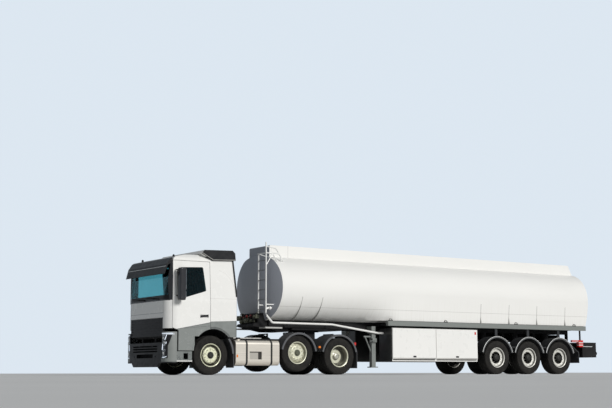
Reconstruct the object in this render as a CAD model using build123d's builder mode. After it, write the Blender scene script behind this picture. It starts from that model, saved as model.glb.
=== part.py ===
from build123d import *
import os
from math import cos, radians, sin, sqrt

# Articulated fuel tanker: a cab-over tractor with three axles and a tank semi-trailer with three.
# Millimetres, +X forward, +Y to the left, +Z up, origin on the ground under the middle of the whole.
# Along the lorry a place is given as its distance behind the front axle, named s in the comments.

os.makedirs("parts", exist_ok=True)

# Overall sizes
front_overhang = 1365
visor_reach = 1405
rear_reach = 14735
body_half_width = 1250
seat_gap = 0.3

# Axles: distance behind the front axle
lift_axle_s = 2730
drive_axle_s = 4100
trailer_axle_s = [10110, 11470, 12830]
kingpin_s = 3680

# Wheels and tyres
tyre_radius = 515
bead_radius = 286
lift_height = 85
tractor_tyre_width = 300
twin_tyre_width = 285
trailer_tyre_width = 385
steer_wheel_y = body_half_width - 245
twin_outer_y = body_half_width - 175
twin_inner_y = twin_outer_y - 325
trailer_wheel_y = body_half_width - 230
steer_pivot_y = steer_wheel_y - 155
side_y = body_half_width - 15

# Tractor frame
rail_outer_y = 425
rail_low = 720
rail_high = 990
rail_flange = 80
rail_thick = 10
frame_front_s = -1050
frame_rear_s = 4880

# Cab
cab_front_s = -1345
cab_rear_s = 750
cab_half_width = body_half_width - 5
cab_low = 1200
cab_wall = 60
cab_floor_top = 1260
cab_corner_radius = 330
cladding = 30
roof_front_radius = 150
roof_rear_radius = 120
shoulder_radius = 130
tilt_s = -1200
tilt_z = 1000
door_hinge_s = -1130
door_hinge_y = cab_half_width - 50
door_rear_s = -80
door_seam = 9
door_low = 630
door_top = 2960
arch_s = 20
arch_z = 612
arch_radius = 585
lip_width = 45

# Tank
tank_front_s = 2180
tank_rear_s = 14180
tank_side_radius = 900
tank_side_centre_y = body_half_width - tank_side_radius
tank_centre_z = 2400
tank_crown_radius = 2500
head_sphere_radius = 3250
head_bulge = 250
coaming_half_width = 540
coaming_top = 3610

front_axle_x = (rear_reach - visor_reach) / 2


def x_at(s):
    """X of a place that lies s behind the front axle."""
    return front_axle_x - s


def side_plane(y=0):
    """Upright plane along the lorry; its normal points to the right, so plates grow inwards from the left."""
    return Plane(origin=(0, y, 0), x_dir=(1, 0, 0), z_dir=(0, -1, 0))


def cross_plane(s=0):
    """Upright plane across the lorry; its normal points forward."""
    return Plane(origin=(x_at(s), 0, 0), x_dir=(0, 1, 0), z_dir=(1, 0, 0))


def block(s_range, y_range, z_range, mode=Mode.ADD):
    """Box between two distances behind the front axle, two widths and two heights."""
    sizes = [abs(end - start) for start, end in (s_range, y_range, z_range)]
    middle = (x_at(sum(s_range) / 2), sum(y_range) / 2, sum(z_range) / 2)
    with Locations(middle):
        Box(*sizes, mode=mode)


def side_prism(outline, y_outer, depth):
    """Solid of a side outline of (s, z) corners, from y_outer inwards."""
    with BuildPart() as prism:
        with BuildSketch(side_plane(y_outer)):
            with BuildLine():
                Polyline(*[(x_at(s), z) for s, z in outline], close=True)
            make_face()
        extrude(amount=depth)
    return prism.part


def front_prism(outline, s_front, depth):
    """Solid of a front outline of (y, z) corners, from s_front rearwards."""
    with BuildPart() as prism:
        with BuildSketch(cross_plane(s_front)):
            with BuildLine():
                Polyline(*outline, close=True)
            make_face()
        extrude(amount=-depth)
    return prism.part


def across(s, z, radius, y_range):
    """Round bar across the lorry."""
    with BuildPart() as bar:
        with BuildSketch(side_plane(max(y_range))):
            with Locations((x_at(s), z)):
                Circle(radius)
        extrude(amount=max(y_range) - min(y_range))
    return bar.part


def upright(s, y, radius, z_range):
    """Round upright bar."""
    with BuildPart() as bar:
        with BuildSketch(Plane.XY.offset(min(z_range))):
            with Locations((x_at(s), y)):
                Circle(radius)
        extrude(amount=max(z_range) - min(z_range))
    return bar.part


thin_bar = 25


def rod(points, radius, bend=None):
    """Bar through (s, y, z) points, eight-sided where thin; the corners are bent to a radius."""
    corners = [(x_at(s), y, z) for s, y, z in points]
    with BuildPart() as bar:
        with BuildLine() as path:
            if bend:
                FilletPolyline(*corners, radius=bend)
            else:
                Line(*corners)
        with BuildSketch(Plane(origin=path.wire() @ 0, z_dir=path.wire() % 0)):
            if radius < thin_bar:
                RegularPolygon(radius, 8)
            else:
                Circle(radius)
        sweep(path=path.wire())
    return bar.part


def save(piece, name):
    piece.label = name
    export_step(piece, f"parts/{name}.step")


# Wheels. A section is drawn with a outward from the middle of the tyre and r from the wheel's axis.
def wheel_plane(centre, side):
    return Plane(origin=centre, x_dir=(0, side, 0), z_dir=(side, 0, 0))


def turned(centre, side, *sections):
    """Solid of revolution about the wheel's axis."""
    with BuildPart() as solid:
        with BuildSketch(wheel_plane(centre, side)):
            for section in sections:
                with BuildLine():
                    Polyline(*section, close=True)
                make_face()
        revolve(axis=Axis(centre, (0, 1, 0)))
    return solid.part


def tyre_solid(centre, side, width):
    half = width / 2
    section = [
        (20 - half, bead_radius + seat_gap),
        (20 - half, flange_radius + 3),
        (-half, 400),
        (32 - half, tyre_radius),
        (half - 32, tyre_radius),
        (half, 400),
        (half - 20, flange_radius + 3),
        (half - 20, bead_radius + seat_gap),
    ]
    return turned(centre, side, section)


flange_radius = 307
rim_wall = 14
hub_radius = 140
disc_thick = 16
disc_flat_radius = 200


def rim_solid(centre, side, width, root_a, disc_a, hub_a, hub_inner_a):
    """Rim whose disc leaves the barrel at root_a and is flat at disc_a, with a hub out to hub_a."""
    edge = width / 2 - 18
    inside = bead_radius - rim_wall
    barrel = [
        (-edge - 10, flange_radius),
        (-edge, flange_radius),
        (-edge, bead_radius),
        (edge, bead_radius),
        (edge, flange_radius),
        (edge + 10, flange_radius),
        (edge + 10, inside),
        (-edge - 10, inside),
    ]
    disc = [
        (root_a - disc_thick, inside + 6),
        (root_a, inside + 6),
        (disc_a, disc_flat_radius),
        (disc_a, 0),
        (disc_a - disc_thick, 0),
        (disc_a - disc_thick, disc_flat_radius),
    ]
    hub = [
        (disc_a - 1, 0),
        (hub_a, 0),
        (hub_a, hub_radius - 35),
        (disc_a - 1, hub_radius),
    ]
    hub_back = [
        (disc_a - disc_thick + 1, 0),
        (disc_a - disc_thick + 1, hub_radius),
        (hub_inner_a, hub_radius),
        (hub_inner_a, 0),
    ]
    return turned(centre, side, barrel, disc, hub, hub_back)


# name, s, tyre width, y of the tyre's middle, height of the axle, disc root, disc, hub end, hub's inner end
lift_wheel_z = tyre_radius + lift_height
single_wheels = [
    ("front", 0, tractor_tyre_width, steer_wheel_y, tyre_radius, 95, 80, 150, 20),
    ("lift", lift_axle_s, tractor_tyre_width, steer_wheel_y, lift_wheel_z, 95, 80, 150, 20),
]
for number, s in enumerate(trailer_axle_s, start=1):
    single_wheels.append(
        (f"trailer_{number}", s, trailer_tyre_width, trailer_wheel_y, tyre_radius, 138, 120, 178, 20)
    )

for name, s, width, y, z, root_a, disc_a, hub_a, hub_inner_a in single_wheels:
    for side, side_name in ((1, "left"), (-1, "right")):
        centre = (x_at(s), side * y, z)
        save(tyre_solid(centre, side, width), f"tyre_{name}_{side_name}")
        save(rim_solid(centre, side, width, root_a, disc_a, hub_a, hub_inner_a),
             f"rim_{name}_{side_name}")

twin_disc_a = disc_thick + 1 - (twin_outer_y - twin_inner_y) / 2
twin_root_a = 100 - twin_tyre_width / 2
for side, side_name in ((1, "left"), (-1, "right")):
    outer = (x_at(drive_axle_s), side * twin_outer_y, tyre_radius)
    inner = (x_at(drive_axle_s), side * twin_inner_y, tyre_radius)
    with BuildPart() as tyres:
        add(tyre_solid(outer, side, twin_tyre_width))
        add(tyre_solid(inner, side, twin_tyre_width))
    save(tyres.part, f"tyres_drive_{side_name}")
    with BuildPart() as rims:
        add(rim_solid(outer, side, twin_tyre_width, twin_root_a, twin_disc_a, 10, twin_disc_a - disc_thick - 1))
        add(rim_solid(inner, -side, twin_tyre_width, twin_root_a, twin_disc_a, 80, twin_disc_a - disc_thick - 1))
    save(rims.part, f"rims_drive_{side_name}")

# Tractor frame: two channels, cross members, the tube that the cab tilts on and the cab's rear stand
tilt_tube_radius = 60
cab_stand_s = (520, 680)
with BuildPart() as tractor_frame:
    with BuildSketch(cross_plane(frame_front_s)):
        with BuildLine():
            Polyline(
                (rail_outer_y, rail_low),
                (rail_outer_y, rail_high),
                (rail_outer_y - rail_flange, rail_high),
                (rail_outer_y - rail_flange, rail_high - rail_thick),
                (rail_outer_y - rail_thick, rail_high - rail_thick),
                (rail_outer_y - rail_thick, rail_low + rail_thick),
                (rail_outer_y - rail_flange, rail_low + rail_thick),
                (rail_outer_y - rail_flange, rail_low),
                close=True,
            )
        make_face()
    extrude(amount=frame_front_s - frame_rear_s)
    mirror(about=Plane.XZ)
    for member_s in (-950, 1100, 2100, 3420, 4820):
        block(
            (member_s - 40, member_s + 40),
            (rail_thick - rail_outer_y, rail_outer_y - rail_thick),
            (rail_low + 40, rail_high - 40),
        )
    for side in (1, -1):
        block(
            (tilt_s - 40, frame_front_s + 150),
            (side * (rail_outer_y - rail_flange), side * rail_outer_y),
            (rail_low + 130, rail_high),
        )
        block(cab_stand_s, (side * 330, side * 425), (rail_high, cab_low - seat_gap))
    add(across(tilt_s, tilt_z, tilt_tube_radius, (-900, 900)))
save(tractor_frame.part, "tractor_frame")

# Fifth wheel: a plate on a saddle, open to the rear for the trailer's kingpin
plate_top = 1250
kingpin_radius = 25.4
throat_half_width = kingpin_radius + 5
with BuildPart() as fifth_wheel:
    with BuildSketch(Plane.XY.offset(plate_top - 40)):
        with Locations((x_at(kingpin_s), 0)):
            Circle(440)
        with BuildLine():
            Polyline(
                (x_at(kingpin_s), throat_half_width),
                (x_at(kingpin_s + 120), throat_half_width),
                (x_at(kingpin_s + 470), 210),
                (x_at(kingpin_s + 470), -210),
                (x_at(kingpin_s + 120), -throat_half_width),
                (x_at(kingpin_s), -throat_half_width),
                close=True,
            )
        make_face(mode=Mode.SUBTRACT)
        with Locations((x_at(kingpin_s), 0)):
            Circle(throat_half_width, mode=Mode.SUBTRACT)
    extrude(amount=40)
    for side in (1, -1):
        block((kingpin_s - 160, kingpin_s + 160), (side * 300, side * 360), (rail_high, plate_top - 40))
        block((kingpin_s - 300, kingpin_s + 300), (side * 345, side * 425), (rail_high, rail_high + 30))
save(fifth_wheel.part, "fifth_wheel")

# Tractor axles with their springs: a dropped front beam, a lift beam and the drive axle
boss_radius = 70
boss_low = tyre_radius - 80
boss_high = tyre_radius + 80
kingpin_bolt_radius = 35
hub_face_y = steer_wheel_y + 20 - 0.5
twin_hub_face_y = twin_inner_y - 80 - 0.5
with BuildPart() as tractor_axles:
    block((-60, 60), (-steer_pivot_y, steer_pivot_y), (boss_low + 20, boss_high - 60))
    for side in (1, -1):
        add(upright(0, side * steer_pivot_y, boss_radius, (boss_low, boss_high)))
        add(upright(0, side * steer_pivot_y, kingpin_bolt_radius + 0.5, (boss_low, boss_high)),
            mode=Mode.SUBTRACT)
        block((-50, 50), (side * 350, side * 425), (boss_high - 60, rail_low))
        block((-750, 750), (side * 350, side * 425), (boss_high + 20, boss_high + 60))
        for end_s in (-740, 700):
            block((end_s, end_s + 40), (side * 350, side * 425), (boss_high + 20, rail_low))
    lift_z = tyre_radius + lift_height
    block((lift_axle_s - 65, lift_axle_s + 65), (-800, 800), (lift_z - 65, lift_z + 65))
    add(across(lift_axle_s, lift_z, 90, (-hub_face_y, hub_face_y)))
    for side in (1, -1):
        add(across(lift_axle_s, lift_z, 200, sorted((side * 800, side * 900))))
        block((lift_axle_s - 90, lift_axle_s + 90), (side * 350, side * 425), (lift_z, rail_low))
    add(across(drive_axle_s, tyre_radius, 95, (-twin_hub_face_y, twin_hub_face_y)))
    add(across(drive_axle_s, tyre_radius, 200, (-150, 150)))
    add(upright(drive_axle_s, 0, 110, (tyre_radius - 235, tyre_radius + 235)))
    for side in (1, -1):
        add(across(drive_axle_s, tyre_radius, 200, sorted((side * 520, side * 590))))
        block((drive_axle_s - 90, drive_axle_s + 90), (side * 350, side * 425), (tyre_radius, rail_low))
        block((drive_axle_s - 560, drive_axle_s + 460), (side * 350, side * 425),
              (tyre_radius + 60, tyre_radius + 110))
        for bag_s in (drive_axle_s - 480, drive_axle_s + 380):
            add(upright(bag_s, side * 387, 95, (tyre_radius + 110, rail_low)))
save(tractor_axles.part, "tractor_axles")

# Steering knuckles: two lugs over and under the beam's boss, a king pin and the stub for the wheel
lug_gap = 1
lug_thick = 50
for side, side_name in ((1, "left"), (-1, "right")):
    pivot_y = side * steer_pivot_y
    with BuildPart() as knuckle:
        add(upright(0, pivot_y, boss_radius, (boss_high + lug_gap, boss_high + lug_gap + lug_thick)))
        add(upright(0, pivot_y, boss_radius, (boss_low - lug_gap - lug_thick, boss_low - lug_gap)))
        add(upright(0, pivot_y, kingpin_bolt_radius, (boss_low - 10, boss_high + 10)))
        block(
            (-70, 70),
            (side * (steer_pivot_y + boss_radius + 5), side * (steer_pivot_y + boss_radius + 60)),
            (boss_low - lug_gap - lug_thick, boss_high + lug_gap + lug_thick),
        )
        for low in (boss_high + lug_gap, boss_low - lug_gap - lug_thick):
            block((-70, 70), (pivot_y, side * (steer_pivot_y + boss_radius + 10)), (low, low + lug_thick))
        add(across(0, tyre_radius, 90, sorted((side * (steer_pivot_y + boss_radius + 20),
                                               side * hub_face_y))))
    save(knuckle.part, f"knuckle_{side_name}")

# Engine and gearbox, one plain block under the cab
with BuildPart() as engine:
    block((-720, 560), (-330, 330), (rail_low + 20, 1140))
    block((560, 1040), (-230, 230), (rail_low + 40, 1080))
save(engine.part, "engine")


# Cab. Its outer form is one plan outline, one side outline and one front outline, crossed.
def cab_form(inset, low):
    """Volume of the cab from height low up, with every outer face moved in by inset."""
    with BuildPart() as form:
        with BuildSketch(Plane.XY.offset(low)) as plan:
            with BuildLine():
                Line((x_at(cab_rear_s), cab_half_width), (x_at(cab_front_s + 45), cab_half_width))
                ThreePointArc(
                    (x_at(cab_front_s + 45), cab_half_width),
                    (x_at(cab_front_s), 0),
                    (x_at(cab_front_s + 45), -cab_half_width),
                )
                Line((x_at(cab_front_s + 45), -cab_half_width), (x_at(cab_rear_s), -cab_half_width))
                Line((x_at(cab_rear_s), -cab_half_width), (x_at(cab_rear_s), cab_half_width))
            make_face()
            corners = plan.vertices().sort_by(Axis.X)
            fillet(corners[2:], radius=cab_corner_radius)
            fillet(plan.vertices().sort_by(Axis.X)[:2], radius=70)
            offset(amount=-inset, kind=Kind.INTERSECTION)
        extrude(amount=2600)
        with BuildSketch(side_plane()) as profile:
            with BuildLine():
                Polyline(
                    *[
                        (x_at(s), z)
                        for s, z in [
                            (cab_front_s, low - 500),
                            (cab_front_s, 1500),
                            (cab_front_s + 15, 1940),
                            (cab_front_s + 125, 2880),
                            (cab_front_s + 235, 3060),
                            (-800, 3130),
                            (-360, 3170),
                            (300, 3170),
                            (630, 3110),
                            (730, 2060),
                            (cab_rear_s, 1430),
                            (cab_rear_s, low - 500),
                        ]
                    ],
                    close=True,
                )
            make_face()
            fillet(profile.vertices().sort_by(Axis.X)[-5], radius=roof_front_radius)
            fillet(profile.vertices().sort_by(Axis.X)[3], radius=roof_rear_radius)
            offset(amount=-inset, kind=Kind.INTERSECTION)
        extrude(amount=2 * cab_half_width, both=True, mode=Mode.INTERSECT)
        with BuildSketch(cross_plane()) as front:
            with BuildLine():
                Polyline(
                    (-cab_half_width, low - 500),
                    (-cab_half_width, 1900),
                    (80 - cab_half_width, 3040),
                    (205 - cab_half_width, 3150),
                    (0, 3180),
                    (cab_half_width - 205, 3150),
                    (cab_half_width - 80, 3040),
                    (cab_half_width, 1900),
                    (cab_half_width, low - 500),
                    close=True,
                )
            make_face()
            fillet(front.vertices().filter_by_position(Axis.Y, 3000, 3160), radius=shoulder_radius)
            offset(amount=-inset, kind=Kind.INTERSECTION)
        extrude(amount=2500, both=True, mode=Mode.INTERSECT)
    return form.part


# Side outline of the door: its front edge, its top, its rear edge, the wheel arch and the low skirt
door_front_s = door_hinge_s - 19
skirt_front_s = -1010
skirt_rear_s = -540


def door_outline(grow):
    return [
        (door_front_s - grow, 1215 - grow),
        (door_front_s - grow, door_top + grow),
        (door_rear_s + grow, door_top + grow),
        (door_rear_s + grow, 1000),
        (skirt_rear_s, 1000),
        (skirt_rear_s, door_low - grow),
        (skirt_front_s - grow, door_low - grow),
        (skirt_front_s - grow, 1150 - grow),
    ]


hinge_roll_radius = 36
roll_gap = 8


def door_region(grow):
    """Space that the left door takes up, grown by the seam where the cab is cut."""
    with BuildPart() as region:
        add(side_prism(door_outline(grow), 1400, 700))
        add(upright(door_hinge_s, door_hinge_y, hinge_roll_radius + (roll_gap if grow else 0),
                    (1215 - grow, door_top + grow)))
        add(across(arch_s, arch_z, arch_radius - grow, (0, 1500)), mode=Mode.SUBTRACT)
    return region.part


window_outline = [(-1050, 1930), (-1050, 2700), (-985, 2785), (-281, 2815), (-200, 2185)]
window_radius = 40
glass_thick = 6
wiper_band_low = 1950
windscreen_low_y = cab_half_width - 115
windscreen_high_y = cab_half_width - 185
windscreen_outline = [
    (-windscreen_low_y, wiper_band_low),
    (-windscreen_high_y, 2840),
    (windscreen_high_y, 2840),
    (windscreen_low_y, wiper_band_low),
]

lid_half_width = cab_half_width - 285
lid_low = 1480
lid_high = 1915
lid_hinge_s = -1331
lid_hinge_z = 1921
lid_hinge_radius = 5
lid_hinge_y = (300, 380)
grille_half_width = cab_half_width - 305
grille_low = 1000
grille_high = 1472
skirt_low = 990
skirt_outline = [
    (door_rear_s, 560), (door_rear_s, 1390), (cab_rear_s + 60, 1430), (cab_rear_s + 60, 560)
]


def window_prism(shrink):
    """Space through the door's window, with rounded corners."""
    with BuildPart() as window:
        with BuildSketch(side_plane(1400)) as opening:
            with BuildLine():
                Polyline(*[(x_at(s), z) for s, z in window_outline], close=True)
            make_face()
            fillet(opening.vertices(), radius=window_radius)
            offset(amount=-shrink)
        extrude(amount=400)
    return window.part


def arch_lip(region):
    """Raised edge round the front wheel's arch on both sides, within a region."""
    with BuildPart() as lip:
        for side in (1, -1):
            add(across(arch_s, arch_z, arch_radius + lip_width,
                       sorted((side * (cab_half_width - 15), side * body_half_width))))
        add(across(arch_s, arch_z, arch_radius, (-1500, 1500)), mode=Mode.SUBTRACT)
        add(region, mode=Mode.INTERSECT)
    return lip.part


def front_region(half_width, low, high):
    """Space in front of the cab between two heights."""
    outline = [(-half_width, low), (-half_width, high), (half_width, high), (half_width, low)]
    return front_prism(outline, cab_front_s - 100, 300)


form_outer = cab_form(0, cab_low)
form_low = cab_form(0, 560)
form_clad = cab_form(cladding, 560)
form_clad_gap = cab_form(cladding + seat_gap, 560)
form_door_inner = cab_form(cab_wall, 560)
form_inner = cab_form(cab_wall, cab_floor_top)
windscreen_region = front_prism(windscreen_outline, cab_front_s - 100, 380)


def layer(region, form_inside):
    """Outer skin of the cab within a region, down to an inner form."""
    with BuildPart() as skin:
        add(form_low)
        add(form_inside, mode=Mode.SUBTRACT)
        add(region, mode=Mode.INTERSECT)
    return skin.part


def skirt_space(grow):
    """Space beside and behind the cab's lower rear, under the white paint."""
    outline = [(s, z + (grow if z > 1000 else 0)) for s, z in skirt_outline]
    outline[0] = (door_rear_s + door_seam - grow, outline[0][1])
    outline[1] = (door_rear_s + door_seam - grow, outline[1][1])
    return side_prism(outline, 1400, 2800)


with BuildPart() as cab_skirts:
    add(layer(skirt_space(0), form_clad))
    add(across(arch_s, arch_z, arch_radius, (-1500, 1500)), mode=Mode.SUBTRACT)
    block((-300, 1200), (-1500, 1500), (400, skirt_low), mode=Mode.SUBTRACT)
    block((600, 1000), (-600, 600), (400, 1600), mode=Mode.SUBTRACT)
    lip_front_s = door_rear_s + door_seam
    add(arch_lip(side_prism([(lip_front_s, skirt_low), (lip_front_s, 1390), (cab_rear_s, 1390),
                             (cab_rear_s, skirt_low)], 1400, 2800)))
save(cab_skirts.part, "cab_skirts")

door_cut = layer(door_region(door_seam), cab_form(cab_wall + 5, 560))
with BuildPart() as cab_shell:
    add(form_outer)
    add(form_inner, mode=Mode.SUBTRACT)
    add(door_cut, mode=Mode.SUBTRACT)
    add(door_cut.mirror(Plane.XZ), mode=Mode.SUBTRACT)
    add(windscreen_region, mode=Mode.SUBTRACT)
    add(layer(front_region(lid_half_width + 6, lid_low - 6, lid_high + 6), form_clad_gap), mode=Mode.SUBTRACT)
    add(layer(front_region(grille_half_width + 6, 600, grille_high + 6), form_clad_gap), mode=Mode.SUBTRACT)
    add(layer(skirt_space(seat_gap), form_clad_gap), mode=Mode.SUBTRACT)
    for side in (1, -1):
        block((door_front_s - door_seam, door_hinge_s + 70), (side * (cab_half_width - 120), side * (cab_half_width + 15)),
              (cab_low - 1, cab_floor_top + 1), mode=Mode.SUBTRACT)
        block((cab_front_s, lid_hinge_s + 14), (side * (lid_hinge_y[0] - 6), side * (lid_hinge_y[1] + 6)),
              (lid_high, lid_hinge_z + lid_hinge_radius + 6), mode=Mode.SUBTRACT)
        block((-110, -40), (side * (cab_half_width - 85), side * (cab_half_width - cab_wall - seat_gap)), (1440, 1840))
        block((door_rear_s + door_seam + 2, -40), (side * (cab_half_width - 85), side * (cab_half_width - 5)), (1440, 1840))
save(cab_shell.part, "cab_shell")

with BuildPart() as front_lid:
    add(layer(front_region(lid_half_width, lid_low, lid_high), form_clad))
    for side in (1, -1):
        add(across(lid_hinge_s, lid_hinge_z, lid_hinge_radius,
                   sorted((side * lid_hinge_y[0], side * lid_hinge_y[1]))))
        block((lid_hinge_s - 3, lid_hinge_s + 5), (side * lid_hinge_y[0], side * lid_hinge_y[1]),
              (lid_high - 10, lid_hinge_z))
save(front_lid.part, "front_lid")

with BuildPart() as grille:
    add(layer(front_region(grille_half_width, grille_low, grille_high), form_clad))
    with BuildPart() as grooves:
        for z in (1060, 1130, 1200, 1270, 1340, 1410):
            block((cab_front_s - 20, cab_front_s + 145), (60 - grille_half_width, grille_half_width - 60), (z, z + 26))
        add(cab_form(14, 600), mode=Mode.SUBTRACT)
    add(grooves.part, mode=Mode.SUBTRACT)
save(grille.part, "grille")

# Glass: a pane that follows the cab's form, a little inside the opening
form_glass_outer = cab_form(8, 1500)
form_glass_inner = cab_form(8 + glass_thick, 1500)
with BuildPart() as windscreen:
    add(form_glass_outer)
    add(form_glass_inner, mode=Mode.SUBTRACT)
    add(front_prism([(y * 0.9997, z + (0.3 if z < 2000 else -0.3)) for y, z in windscreen_outline],
                    cab_front_s - 100, 379), mode=Mode.INTERSECT)
save(windscreen.part, "windscreen")

# Doors: the whole thickness of the wall, with the window cut out, a mirror on two arms and the low skirt
mirror_s = (-1112, -925)
mirror_y = (body_half_width + 60, body_half_width + 250)
mirror_z = (1910, 2760)
handle_s = (-378, -136)
handle_z = (1488, 1564)
handle_pocket_y = cab_half_width - 28
with BuildPart() as mirror_pod:
    block(mirror_s, mirror_y, mirror_z)
    fillet(mirror_pod.edges().filter_by(Axis.Z), radius=55)
    fillet(mirror_pod.faces().filter_by(Axis.Z).edges(), radius=40)
with BuildPart() as door_left:
    add(form_low)
    add(form_door_inner, mode=Mode.SUBTRACT)
    add(door_region(0), mode=Mode.INTERSECT)
    add(window_prism(0), mode=Mode.SUBTRACT)
    add(arch_lip(side_prism(door_outline(0), 1400, 700)))
    block(handle_s, (handle_pocket_y, cab_half_width + 1), handle_z, mode=Mode.SUBTRACT)
    block((handle_s[0] - 5, handle_s[1] + 5), (cab_half_width - 15, cab_half_width - 2), (1512, 1540))
    add(mirror_pod.part)
    for arm_z in (2020, 2690):
        block((door_hinge_s + 12, door_hinge_s + 42), (cab_half_width - 65, mirror_y[0] + 20), (arm_z, arm_z + 30))
save(door_left.part, "door_left")
save(door_left.part.mirror(Plane.XZ), "door_right")

with BuildPart() as glass_left:
    add(form_glass_outer)
    add(form_glass_inner, mode=Mode.SUBTRACT)
    add(window_prism(0.4), mode=Mode.INTERSECT)
save(glass_left.part, "glass_left")
save(glass_left.part.mirror(Plane.XZ), "glass_right")

# Visor over the windscreen and the dark deflector round the back of the roof
visor_outline = [
    (-1168, 3045), (-1230, 3010), (-1335, 2860), (-visor_reach, 2600), (-1388, 2600), (-1300, 2840), (-1168, 2900)
]
visor_half_width = cab_half_width - 95
fin_half_width = cab_half_width - 30
strip_outline = [(698, 2060), (780, 2060), (680, 3070), (600, 3070)]
fin_outline = [(-330, 3180), (-250, 3275), (600, 3300), (680, 3230), (697, 3030), (0, 3005)]
with BuildPart() as cab_trim:
    add(side_prism(visor_outline, visor_half_width, 2 * visor_half_width))
    add(side_prism(fin_outline, fin_half_width, 2 * fin_half_width))
    for side in (1, -1):
        with BuildPart() as strip:
            add(cab_form(-12, 1500))
            add(side_prism(strip_outline, side * (cab_half_width - 65) + 90, 180), mode=Mode.INTERSECT)
        add(strip.part)
    add(cab_form(-seat_gap, 1500), mode=Mode.SUBTRACT)
save(cab_trim.part, "cab_trim")

wheel_y = 600
# Cab interior: seats, dashboard with the steering wheel, bunk
with BuildPart() as cab_interior:
    for side in (1, -1):
        block((-420, 60), (side * 350, side * 850), (cab_floor_top + seat_gap, 1750))
        block((0, 130), (side * 350, side * 850), (1750, 2450))
    block((-1060, -800), (245 - cab_half_width, cab_half_width - 245), (cab_floor_top + seat_gap, 1900))
    add(rod([(-860, wheel_y, 1780), (-690, wheel_y, 1960)], 30))
    with BuildSketch(Plane(origin=(x_at(-690), wheel_y, 1960), x_dir=(0, 1, 0), z_dir=(-170, 0, 180))):
        Circle(220)
        Circle(190, mode=Mode.SUBTRACT)
        Rectangle(400, 40)
    extrude(amount=26)
    block((180, 660), (145 - cab_half_width, cab_half_width - 145), (cab_floor_top + seat_gap, 1800))
save(cab_interior.part, "cab_interior")

# Bumper on the frame: corners, a low centre and steps
bumper_low = 310
apron_low = 205
towing_eye_y = 610
towing_eye_z = 480
towing_eye_radius = 22
bumper_corner_high = 1110
bumper_centre_high = 835
bumper_rear_s = -1052
bumper_corner_y = body_half_width - 302
bumper_wall = 70


def bumper_form(inset, low, high):
    with BuildPart() as form:
        with BuildSketch(Plane.XY.offset(low)) as plan:
            with BuildLine():
                Line((x_at(bumper_rear_s), body_half_width - 5), (x_at(-front_overhang + 45), body_half_width - 5))
                ThreePointArc(
                    (x_at(-front_overhang + 45), body_half_width - 5),
                    (x_at(-front_overhang), 0),
                    (x_at(-front_overhang + 45), 5 - body_half_width),
                )
                Line((x_at(-front_overhang + 45), 5 - body_half_width), (x_at(bumper_rear_s), 5 - body_half_width))
                Line((x_at(bumper_rear_s), 5 - body_half_width), (x_at(bumper_rear_s), body_half_width - 5))
            make_face()
            fillet(plan.vertices().sort_by(Axis.X)[2:], radius=230)
            offset(amount=-inset, kind=Kind.INTERSECTION)
        extrude(amount=high - low)
    return form.part


def lamp_outline(grow):
    """Front outline of the left headlamp: an upright strip and an arm along its top to the side."""
    inner = bumper_corner_y + 7.5 - grow
    outer = body_half_width - 145 + grow
    return [
        (inner, 431 - grow), (outer, 431 - grow), (outer, 760), (outer - 25, 1020 - grow),
        (body_half_width + 50, 1032 - grow), (body_half_width + 50, 1084 + grow), (inner, 1084 + grow)
    ]


lamp_rear_s = -1120
with BuildPart() as bumper:
    add(bumper_form(0, bumper_low, bumper_corner_high))
    with BuildPart() as apron:
        add(bumper_form(0, apron_low, bumper_low + 50))
        add(front_prism([(-700, apron_low), (-860, bumper_low + 50), (860, bumper_low + 50), (700, apron_low)],
                        -1500, 1500), mode=Mode.INTERSECT)
    add(apron.part)
    add(bumper_form(bumper_wall, apron_low - 1, bumper_corner_high + 1), mode=Mode.SUBTRACT)
    block((bumper_rear_s - 80, 0), (90 - body_half_width, body_half_width - 90), (apron_low - 1, bumper_corner_high + 1), mode=Mode.SUBTRACT)
    block((-1500, 0), (-bumper_corner_y, bumper_corner_y), (bumper_centre_high, bumper_corner_high + 1),
          mode=Mode.SUBTRACT)
    for z in (590, 655, 720):
        block((-front_overhang - 1, -1200), (-720, 720), (z, z + 38), mode=Mode.SUBTRACT)
    block((-front_overhang - 1, -1200), (-480, 480), (440, 540), mode=Mode.SUBTRACT)
    for side in (1, -1):
        with BuildSketch(cross_plane(-1500)):
            with Locations((side * towing_eye_y, towing_eye_z)):
                Circle(towing_eye_radius)
        extrude(amount=-300, mode=Mode.SUBTRACT)
    lamp_pocket = front_prism(lamp_outline(0.5), -1500, 1500 + lamp_rear_s)
    add(lamp_pocket, mode=Mode.SUBTRACT)
    add(lamp_pocket.mirror(Plane.XZ), mode=Mode.SUBTRACT)
    for side in (1, -1):
        block((bumper_wall / 2 - front_overhang, frame_front_s - seat_gap), (side * 345, side * 425), (740, 830))
save(bumper.part, "bumper")

with BuildPart() as tractor_lamps:
    lens = front_prism(lamp_outline(0), -1500, 1499.5 + lamp_rear_s)
    add(bumper_form(6, 400, 1120))
    add(bumper_form(bumper_wall - 1, 390, 1130), mode=Mode.SUBTRACT)
    add(lens + lens.mirror(Plane.XZ), mode=Mode.INTERSECT)
    for side in (1, -1):
        block((frame_rear_s + seat_gap, frame_rear_s + 70), (side * 345, side * 800), (780, 930))
save(tractor_lamps.part, "tractor_lamps")

with BuildPart() as treads:
    for side in (1, -1):
        block((-1050, -600), (side * 900, side * side_y), (345, 375))
        block((-1050, -600), (side * (side_y - 45), side * (side_y - 15)), (375, 610))
        block((-845, -715), (side * (side_y - 55), side * (side_y - 5)), (405, 560), mode=Mode.SUBTRACT)
        block((-1049, -1015), (side * (rail_outer_y + seat_gap), side * (side_y - 65)), (345, 800))
    block((1100, 2000), (-420, 420), (rail_high + seat_gap, rail_high + 25))
save(treads.part, "treads")

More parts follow.
